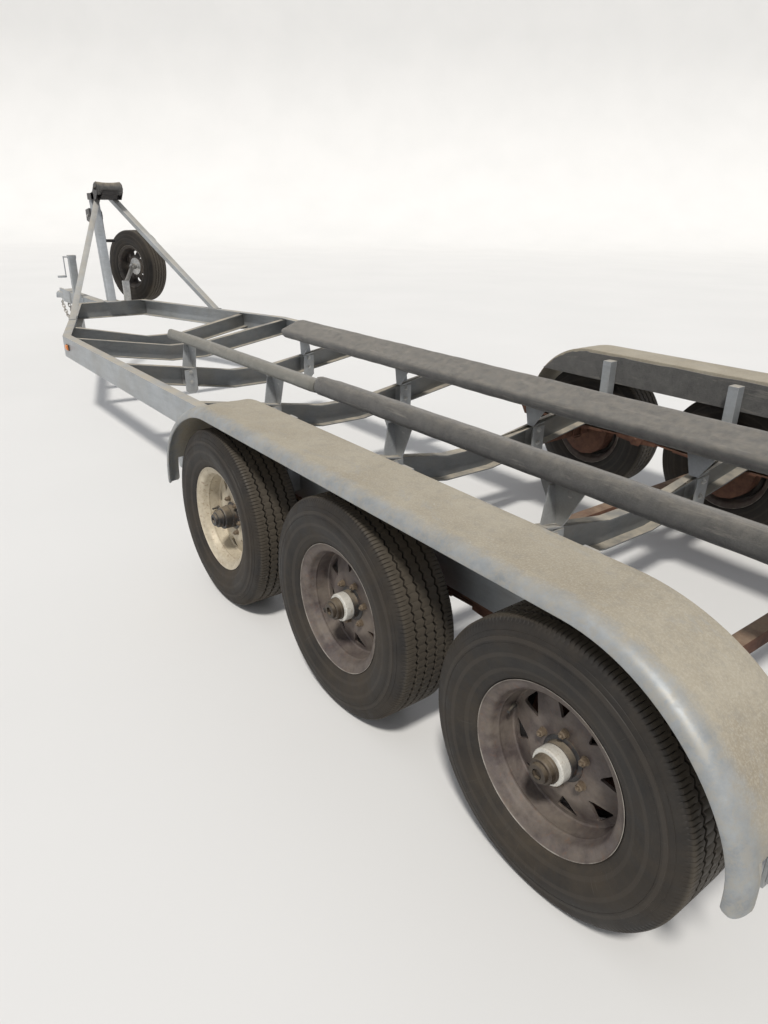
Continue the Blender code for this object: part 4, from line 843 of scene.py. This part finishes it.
def fender(side_name, side):
    """The long sheet fender with its skirt, posts and tip brackets."""
    mesh = bmesh.new()
    rings = []
    for number, (x, z, out, share) in enumerate(fender_stations()):
        flare = min(1.0, share / 0.75)
        outer = FENDER_OUT + (TIP_OUT - FENDER_OUT) * flare * flare * (3.0 - 2.0 * flare)
        outer -= 0.005 * max(0.0, 1.0 - (z - FENDER_TIP_Z + TIP_DROP) / 0.014) ** 2
        ring = []
        for y, depth in fender_outline(inner_edge(z), outer, lip_depth(z, share), number * 0.7):
            centre = row(x, 0.0, z) - out * depth
            ring.append((centre.x, side * y, centre.z))
        rings.append(ring)
    skin(mesh, rings, caps=True)
    piece("fender_shell_" + side_name, mesh, "fender_zinc", ROOT, 35.0,
          replaced=("fender_" + side_name,))
    line = [(x, z - 0.003) for x, z, _, _ in fender_stations() if z > SKIRT_BOTTOM + 0.004]
    for low_y, high_y, drop, look, label in (
        (FENDER_IN - 0.0015, FENDER_IN + 0.0035, 0.0, "fender_zinc", "fender_skirt_"),
        (FENDER_IN - 0.0095, FENDER_IN - 0.0018, 0.012, "carpet", "fender_carpet_"),
    ):
        rings = []
        for number, (x, z) in enumerate(line):
            fuzz = 0.004 * math.sin(number * 2.3) * math.sin(number * 0.9) if drop else 0.0
            top = max(z - drop + fuzz, SKIRT_BOTTOM + 0.002)
            bottom = SKIRT_BOTTOM - (0.004 if drop else 0.0)
            corners = ((low_y, bottom), (high_y, bottom), (high_y, top), (low_y, top))
            rings.append([(row(x, 0.0, 0.0).x, side * y, up) for y, up in corners])
        band = bmesh.new()
        skin(band, rings, caps=True)
        piece(label + side_name, band, look, ROOT, 40.0)
    posts = bmesh.new()
    bolts = bmesh.new()
    for offset in (-FENDER_POST_SPREAD, 0.0, FENDER_POST_SPREAD):
        x = row(AXLE_PITCH + offset, 0.0, 0.0).x
        low_y, high_y = sorted((side * RAIL_OUT, side * (FENDER_IN - 0.0100)))
        slab(posts, (x - FENDER_POST_HALF, low_y, 0.475), (x + FENDER_POST_HALF, high_y, 0.772), 0.0015)
        for up in (0.50, 0.56):
            bolt(bolts, (x, side * (FENDER_IN - 0.0098), up), (0.0, side, 0.0), 0.010, 0.007)
    bracket_top = FENDER_TIP_Z + TIP_STEP + BRACKET_RISE
    for tip, _, inward in FENDER_TIPS:
        x = row(tip, 0.0, 0.0).x
        low_x, high_x = sorted((x + inward * 0.0035, x + inward * 0.0115))
        low_y, high_y = sorted((side * RAIL_OUT, side * BRACKET_OUT))
        slab(posts, (low_x, low_y, FENDER_TIP_Z - 0.004), (high_x, high_y, bracket_top), 0.0015)
        low_x, high_x = sorted((x - inward * 0.040, x + inward * 0.0035))
        low_y, high_y = sorted((side * (BRACKET_OUT - 0.0060), side * BRACKET_OUT))
        slab(posts, (low_x, low_y, FENDER_TIP_Z + 0.012), (high_x, high_y, bracket_top), 0.0015)
        for y, up in ((1.060, 0.045), (1.160, 0.045), (1.060, 0.080), (1.160, 0.080)):
            bolt(bolts, (x + inward * 0.0035, side * y, FENDER_TIP_Z + up), (-inward, 0.0, 0.0), 0.009, 0.006)
    piece("fender_posts_" + side_name, posts, "galvanised", ROOT)
    piece("fender_bolts_" + side_name, bolts, "zinc", ROOT)


for fender_side, fender_sign in SIDES.items():
    fender(fender_side, fender_sign)


# Bunks


def bunk(node, look, seed):
    """A carpeted plank laid over the CAD plank's place, with soft edges and a slightly uneven skin."""
    source = [vert.co.copy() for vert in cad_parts[node].data.vertices]
    rear = min(point.x for point in source)
    front = max(point.x for point in source)
    outline = []
    for point in source:
        if point.x < rear + 0.001 and all((point.yz - kept).length > 0.0001 for kept in outline):
            outline.append(point.yz)
    middle = sum(outline, Vector((0.0, 0.0))) / len(outline)
    outline.sort(key=lambda point: math.atan2(point.y - middle.y, point.x - middle.x))
    dense = []
    for before, after in zip(outline, outline[1:] + outline[:1]):
        pieces = max(1, int((after - before).length / 0.014))
        dense += [before.lerp(after, step / pieces) for step in range(pieces)]
    steps = int((front - rear) / 0.030)
    mesh = bmesh.new()
    rings = []
    for step in range(steps + 1):
        share = step / steps
        x = rear + (front - rear) * share
        squeeze = 0.90 if step in (0, steps) else 1.0
        ring = []
        for point in dense:
            away = point - middle
            swell = 0.0009 * math.sin(11.0 * x + seed + away.x * 60.0)
            swell += 0.0007 * math.sin(37.0 * x + away.x * 90.0)
            place = middle + away * squeeze + away.normalized() * swell
            ring.append((x, place.x, place.y))
        rings.append(ring)
    skin(mesh, rings, caps=True)
    piece(node + "_carpet", mesh, look, ROOT, 60.0, replaced=(node,))


bunk("bunk_left_front", "carpet_olive", 0.3)
bunk("bunk_left_rear", "carpet", 1.9)
for bunk_node in sorted(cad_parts):
    if bunk_node.startswith("bunk_right"):
        bunk(bunk_node, "carpet", 4.2)


# Fastenings and small parts of the frame

POST_PLACES = (3.85, 2.69, 1.60, 0.70, -0.40, -1.55)
SPRING_Y = 0.924
AXLE_HALF = 0.025
CLIP_HALF = 0.0335        # half width of a U bolt
CLIP_WIRE = 0.0055
WELD = 0.0032             # radius of a weld bead
WELD_STEP = 0.0035


def post_bolts():
    """Two bolts through each bunk post's plate, and one through the folded gusset into the bunk."""
    mesh = bmesh.new()
    for x in POST_PLACES:
        for side in SIDES.values():
            for up in (0.478, 0.412):
                bolt(mesh, row(x - 0.0542, side * POST_Y, up), (-1.0, 0.0, 0.0), 0.011, 0.008, stud=0.004)
            for along in (-0.070, 0.020):
                place = row(x - 0.012 + along, side * (POST_Y - 0.0145), 0.632)
                bolt(mesh, place, (0.0, -side, 0.0), 0.008, 0.005)
    piece("post_bolts", mesh, "zinc", ROOT)


def spring_clips():
    """U bolts over each axle beam with nuts on the spring seat."""
    mesh = bmesh.new()
    for x in AXLES.values():
        for side in SIDES.values():
            for along in (-0.034, 0.034):
                path = []
                for step in range(9):
                    angle = math.pi * step / 8.0
                    path.append(row(x + along, side * SPRING_Y + CLIP_HALF * math.cos(angle),
                                    TYRE_RADIUS - AXLE_HALF + 0.002 - 0.009 * math.sin(angle)))
                top = TYRE_RADIUS + AXLE_HALF + 0.030
                path = [Vector((path[0].x, path[0].y, top))] + path + [Vector((path[-1].x, path[-1].y, top))]
                tube(mesh, path, CLIP_WIRE, 10)
                for point in (path[0], path[-1]):
                    bolt(mesh, point - Vector((0.0, 0.0, 0.017)), (0.0, 0.0, 1.0), 0.010, 0.009)
    piece("spring_u_bolts", mesh, "rusty_steel", ROOT)


def corner_plates():
    """Plates that close the ends of the front crossmember, with a weld bead up each corner."""
    mesh = bmesh.new()
    for side in SIDES.values():
        low_y, high_y = sorted((side * 0.3560, side * 0.3620))
        slab(mesh, row(6.8850, low_y, 0.4495), row(6.9280, high_y, 0.5885), 0.0008)
        for x, y, steps in ((6.8838, 0.3640, 41), (6.9362, 0.0505, 32)):
            path = [row(x, side * (y + 0.0004 * math.sin(2.3 * step)), 0.448 + WELD_STEP * step)
                    for step in range(steps)]
            tube(mesh, path, WELD, 8)
    piece("front_corner_plates", mesh, "galvanised", ROOT)


post_bolts()
spring_clips()
corner_plates()


# Bow roller and its arm

ROLLER_X = 6.540
ROLLER_Z = 1.641
ROLLER_HALF = 0.113       # half length
ROLLER_END = 0.058        # radius at its ends
ROLLER_WAIST = 0.049
ROLLER_PIN = 0.009
ARM_LOW = 1.5453
ARM_HIGH = 1.6053
CHEEK = 0.006
CHEEK_MIDDLE = (6.59, 1.62)


def bow_roller():
    """The hourglass roller that takes the bow, with rounded ends and a bore for its pin."""
    mesh = bmesh.new()
    profile = [(0.0095, -ROLLER_HALF), (ROLLER_END - 0.006, -ROLLER_HALF), (ROLLER_END, -ROLLER_HALF + 0.006)]
    for step in range(-8, 9):
        share = step / 9.0
        profile.append((ROLLER_WAIST + (ROLLER_END - ROLLER_WAIST) * share ** 2, ROLLER_HALF * share))
    profile += [(ROLLER_END, ROLLER_HALF - 0.006), (ROLLER_END - 0.006, ROLLER_HALF), (0.0095, ROLLER_HALF)]
    lathe(mesh, profile, 48, row(ROLLER_X, 0.0, ROLLER_Z), closed=True)
    piece("bow_roller_rubber", mesh, "roller_rubber", ROOT, replaced=("bow_roller",))


def bow_arm():
    """The arm over the winch post: a box bar, its cross block, a saddle, cheeks and the roller's pin."""
    mesh = bmesh.new()
    slab(mesh, row(6.700, -0.050, ARM_LOW), row(7.070, 0.050, ARM_HIGH), 0.003)
    slab(mesh, row(6.618, -ROLLER_HALF - CHEEK, ARM_LOW), row(6.720, ROLLER_HALF + CHEEK, ARM_HIGH), 0.003)
    saddle = []
    for step in range(9):
        angle = math.radians(200.0 + 17.5 * step)
        reach = ROLLER_END + 0.006
        saddle.append((ROLLER_X + reach * math.cos(angle), ROLLER_Z + reach * math.sin(angle)))
    outline = saddle + [(6.640, ARM_LOW + 0.004), (6.560, ARM_LOW + 0.004)]
    skin(mesh, [[row(x, y, z) for x, z in outline] for y in (-0.075, 0.075)], caps=True)
    cheek = (
        (6.700, ARM_LOW), (6.700, ARM_HIGH - 0.004), (6.640, ARM_HIGH + 0.012), (6.585, 1.672),
        (6.562, 1.688), (6.530, 1.690), (6.500, 1.672), (6.488, 1.640), (6.500, 1.606), (6.560, ARM_LOW),
    )
    middle_x, middle_z = CHEEK_MIDDLE
    outside = ROLLER_HALF + CHEEK
    for side in SIDES.values():
        rings = []
        for away in (0.0015, CHEEK - 0.001, CHEEK):
            scale = 0.985 if away == CHEEK else 1.0
            y = side * (ROLLER_HALF + away)
            rings.append([row(middle_x + (x - middle_x) * scale, y, middle_z + (z - middle_z) * scale)
                          for x, z in cheek])
        skin(mesh, rings, caps=True)
        bolt(mesh, row(ROLLER_X, side * outside, ROLLER_Z), (0.0, side, 0.0), 0.013, 0.010, stud=0.004)
    tube(mesh, [row(ROLLER_X, y, ROLLER_Z) for y in (-outside, 0.0, outside)], ROLLER_PIN, 12)
    piece("bow_arm_worn", mesh, "black_steel", ROOT, replaced=("bow_arm",))


bow_roller()
bow_arm()


LENS_INSET = 0.010
LENS_STEP = 0.0035


def lamp(node, look, count):
    """A lamp: a base plate with its lenses stood on it in low steps."""
    low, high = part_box(node)
    side = 1.0 if low.y > 0.0 else -1.0
    inner, outer = (low.y, high.y) if side > 0.0 else (high.y, low.y)
    depth = outer - inner
    base = bmesh.new()
    first, second = sorted((inner, inner + depth * 0.32))
    slab(base, (low.x, first, low.z), (high.x, second, high.z), 0.0015)
    for x in (low.x + 0.006, high.x - 0.006):
        place = (x, inner + depth * 0.32, (low.z + high.z) / 2.0)
        bolt(base, place, (0.0, side, 0.0), 0.003, 0.002, washer=False)
    piece(node + "_base", base, "black_steel", ROOT, replaced=(node,))
    glass = bmesh.new()
    width = (high.x - low.x - 2.0 * LENS_INSET) / count
    for number in range(count):
        start = low.x + LENS_INSET + number * width
        for level, share in ((0.0, 0.70), (LENS_STEP, 1.0)):
            near, far = sorted((inner + depth * 0.30, inner + depth * share))
            slab(glass, (start + 0.0004 + level, near, low.z + 0.004 + level),
                 (start + width - 0.0004 - level, far, high.z - 0.004 - level), 0.0012)
    piece(node + "_lens", glass, look, ROOT)


for lamp_side in SIDES:
    lamp("marker_lamp_" + lamp_side, "amber_lens", 1)
    lamp("tail_lamp_" + lamp_side, "red_lens", 3)


# Safety chains

CHAIN_LINKS = 17
LINK_LENGTH = 0.066
LINK_WIDTH = 0.040
WIRE = 0.0055
CHAIN_ENDS = ((8.180, 0.405), (8.780, 0.405))
CHAIN_Y = 0.034
LINK_INSIDE = (LINK_LENGTH - LINK_WIDTH) / 2.0 + (LINK_WIDTH / 2.0 - WIRE) * math.cos(math.pi / 8.0) - WIRE
LINK_PITCH = 2.0 * LINK_INSIDE + 0.0012
LINK_LEAD = LINK_INSIDE - 0.0068


def hanging_line(start, end, length):
    """Points along a parabola of a given length between two ends."""
    low, high = 0.0, length
    for _ in range(40):
        sag = (low + high) / 2.0
        line = []
        for step in range(201):
            share = step / 200.0
            line.append(start.lerp(end, share) - Vector((0.0, 0.0, sag * 4.0 * share * (1.0 - share))))
        if sum((after - before).length for before, after in zip(line, line[1:])) < length:
            low = sag
        else:
            high = sag
    return line


def along_line(line, distance):
    """Place and direction at a distance along a line of points."""
    for before, after in zip(line, line[1:]):
        step = (after - before).length
        if distance <= step:
            return before.lerp(after, distance / step), (after - before).normalized()
        distance -= step
    return line[-1], (line[-1] - line[-2]).normalized()


def chain(side_name, side):
    """The safety chain as links of round wire, each over its CAD link."""
    ends = [row(x, side * CHAIN_Y, z) for x, z in CHAIN_ENDS]
    line = hanging_line(*ends, 2.0 * LINK_LEAD + (CHAIN_LINKS - 1) * LINK_PITCH)
    sideways = Vector((0.0, 1.0, 0.0))
    mesh = bmesh.new()
    straight = (LINK_LENGTH - LINK_WIDTH) / 2.0
    bend = LINK_WIDTH / 2.0 - WIRE
    for index in range(CHAIN_LINKS):
        place, along = along_line(line, LINK_LEAD + index * LINK_PITCH)
        flat = sideways if index % 2 else along.cross(sideways).normalized()
        path = []
        for step in range(20):
            angle = math.tau * (step + 0.5) / 20.0
            end = straight if math.cos(angle) > 0.0 else -straight
            path.append(place + along * (end + bend * math.cos(angle)) + flat * bend * math.sin(angle))
        tube(mesh, path, WIRE * 0.96, 10, looped=True)
    node = "safety_chain_" + side_name
    piece(node + "_links", mesh, "chain_zinc", ROOT, 60.0, replaced=(node,))


for chain_side, chain_sign in SIDES.items():
    chain(chain_side, chain_sign)


# Winch

WINCH_Z = 1.400
DRUM_AHEAD = 0.0799       # middle of the drum ahead of the CAD winch's rear end
COIL_TURNS = 10
COIL_PITCH = 0.0097
GEAR_TEETH = 36
COIL_HUB = 0.0505
COVER = (
    (0.0, -0.0645), (0.0640, -0.0645), (0.0660, -0.0660), (0.0660, -0.0700), (0.0630, -0.0720),
    (0.0, -0.0720),
)
STRAP_LINE = ((-0.0570, 0.010), (-0.0560, 0.060), (-0.0500, 0.100), (-0.0440, 0.1400))
STRAP_SECTION = ((0.0, -0.024), (0.003, -0.024), (0.003, 0.024), (0.0, 0.024))


def winch_trim():
    """The winch's strap in a coil and its end, the gear with its bolts, and a cover."""
    low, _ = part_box("winch")
    centre = Vector((low.x + DRUM_AHEAD, 0.0, WINCH_Z))
    coil = [(COIL_HUB, -0.0470)]
    for number in range(COIL_TURNS):
        y = -0.0435 + number * COIL_PITCH
        coil += [(0.0625, y - 0.0034), (0.0655, y - 0.0012), (0.0655, y + 0.0012), (0.0625, y + 0.0034),
                 (0.0580, y + 0.0048)]
    coil.append((COIL_HUB, 0.0470))
    strap = bmesh.new()
    lathe(strap, coil, 40, centre, closed=True)
    piece("winch_strap_coil", strap, "strap", ROOT, 50.0)
    outline = []
    for corner in range(GEAR_TEETH * 4):
        reach = 0.0520 if corner % 4 in (0, 1) else 0.0475
        angle = math.tau * corner / (GEAR_TEETH * 4)
        outline.append((reach * math.cos(angle), reach * math.sin(angle)))
    gear = bmesh.new()
    skin(gear, [[centre + Vector((a, y, b)) for a, b in outline] for y in (-0.0640, -0.0580)], caps=True)
    bolt(gear, centre + Vector((0.0, -0.0640, 0.0)), (0.0, -1.0, 0.0), 0.011, 0.008)
    bolt(gear, centre + Vector((0.0, 0.0555, 0.0)), (0.0, 1.0, 0.0), 0.011, 0.008)
    piece("winch_gear", gear, "zinc", ROOT)
    cover = bmesh.new()
    lathe(cover, COVER, 48, centre)
    piece("winch_cover", cover, "black_steel", ROOT)
    web = bmesh.new()
    line = [centre + Vector((x, 0.0, z)) for x, z in STRAP_LINE]
    skin(web, [[point + Vector((a, b, 0.0)) for a, b in STRAP_SECTION] for point in line], caps=True)
    piece("winch_strap_end", web, "strap", ROOT, 50.0)


winch_trim()


# Stage, light and camera

FLOOR_NEAR, FLOOR_FAR, WALL_TOP, WALL_BEND = -26.0, 34.0, 22.0, 9.0
FLOOR_DROP = 0.0005       # floor under the tyres
VIEW_YAW = math.radians(-37.09)
VIEW_PITCH = math.radians(23.27)
VIEW_ROLL = math.radians(0.77)
VIEW_PLACE = (-4.408, 2.262, 1.506)
VIEW_LENS = 24.845


def studio_floor():
    """A plain pale floor that bends up into a wall far behind the trailer."""
    profile = [(FLOOR_NEAR, 0.0), (-8.0, 0.0), (0.0, 0.0), (8.0, 0.0), (FLOOR_FAR - WALL_BEND, 0.0)]
    for step in range(1, 13):
        angle = math.radians(90.0) * step / 12.0
        out = FLOOR_FAR - WALL_BEND + WALL_BEND * math.sin(angle)
        profile.append((out, WALL_BEND * (1.0 - math.cos(angle))))
    profile.append((FLOOR_FAR, WALL_TOP))
    along = Vector((math.cos(VIEW_YAW), math.sin(VIEW_YAW), 0.0))
    across = Vector((-math.sin(VIEW_YAW), math.cos(VIEW_YAW), 0.0))
    mesh = bmesh.new()
    rings = [[along * d + across * offset + Vector((0.0, 0.0, up - FLOOR_DROP)) for d, up in profile]
             for offset in (-45.0, -20.0, 0.0, 20.0, 45.0)]
    skin(mesh, rings, closed=False)
    data = mesh_data("studio_floor", mesh)
    data.shade_smooth()
    paint = Paint("studio_floor_look", roughness=0.9)
    tone = paint.mix(paint.noise(0.6, 3.0, 0.5), (0.70, 0.70, 0.69), (0.76, 0.755, 0.745))
    data.materials.append(paint.use(Base_Color=tone))
    linked("studio_floor", data)


def studio_light():
    """A pale world and one soft sun."""
    world = bpy.data.worlds.new("studio")
    scene.world = world
    world.use_nodes = True
    sky = world.node_tree.nodes["Background"].inputs
    sky["Color"].default_value = (0.93, 0.95, 1.0, 1.0)
    sky["Strength"].default_value = 0.50
    light = bpy.data.lights.new("key_sun", "SUN")
    light.energy = 2.6
    light.angle = math.radians(7.0)
    light.color = (1.0, 0.965, 0.91)
    sun = linked("key_sun", light)
    sun.rotation_euler = Vector((-0.50, 0.52, 1.10)).to_track_quat("Z", "Y").to_euler()


def photo_camera():
    """The camera at the photograph's place, angle and lens."""
    data = bpy.data.cameras.new("camera")
    data.lens = VIEW_LENS
    data.clip_end = 200.0
    level = math.cos(VIEW_PITCH)
    forward = Vector((math.cos(VIEW_YAW) * level, math.sin(VIEW_YAW) * level, -math.sin(VIEW_PITCH)))
    right = Vector((math.sin(VIEW_YAW), -math.cos(VIEW_YAW), 0.0))
    upward = right.cross(forward)
    rolled_right = right * math.cos(VIEW_ROLL) + upward * math.sin(VIEW_ROLL)
    rolled_up = upward * math.cos(VIEW_ROLL) - right * math.sin(VIEW_ROLL)
    turn = Matrix((rolled_right, rolled_up, -forward)).transposed().to_4x4()
    camera = linked("camera", data)
    camera.matrix_world = Matrix.Translation(VIEW_PLACE) @ turn
    scene.camera = camera


studio_floor()
studio_light()
photo_camera()
scene.view_settings.view_transform = "Standard"
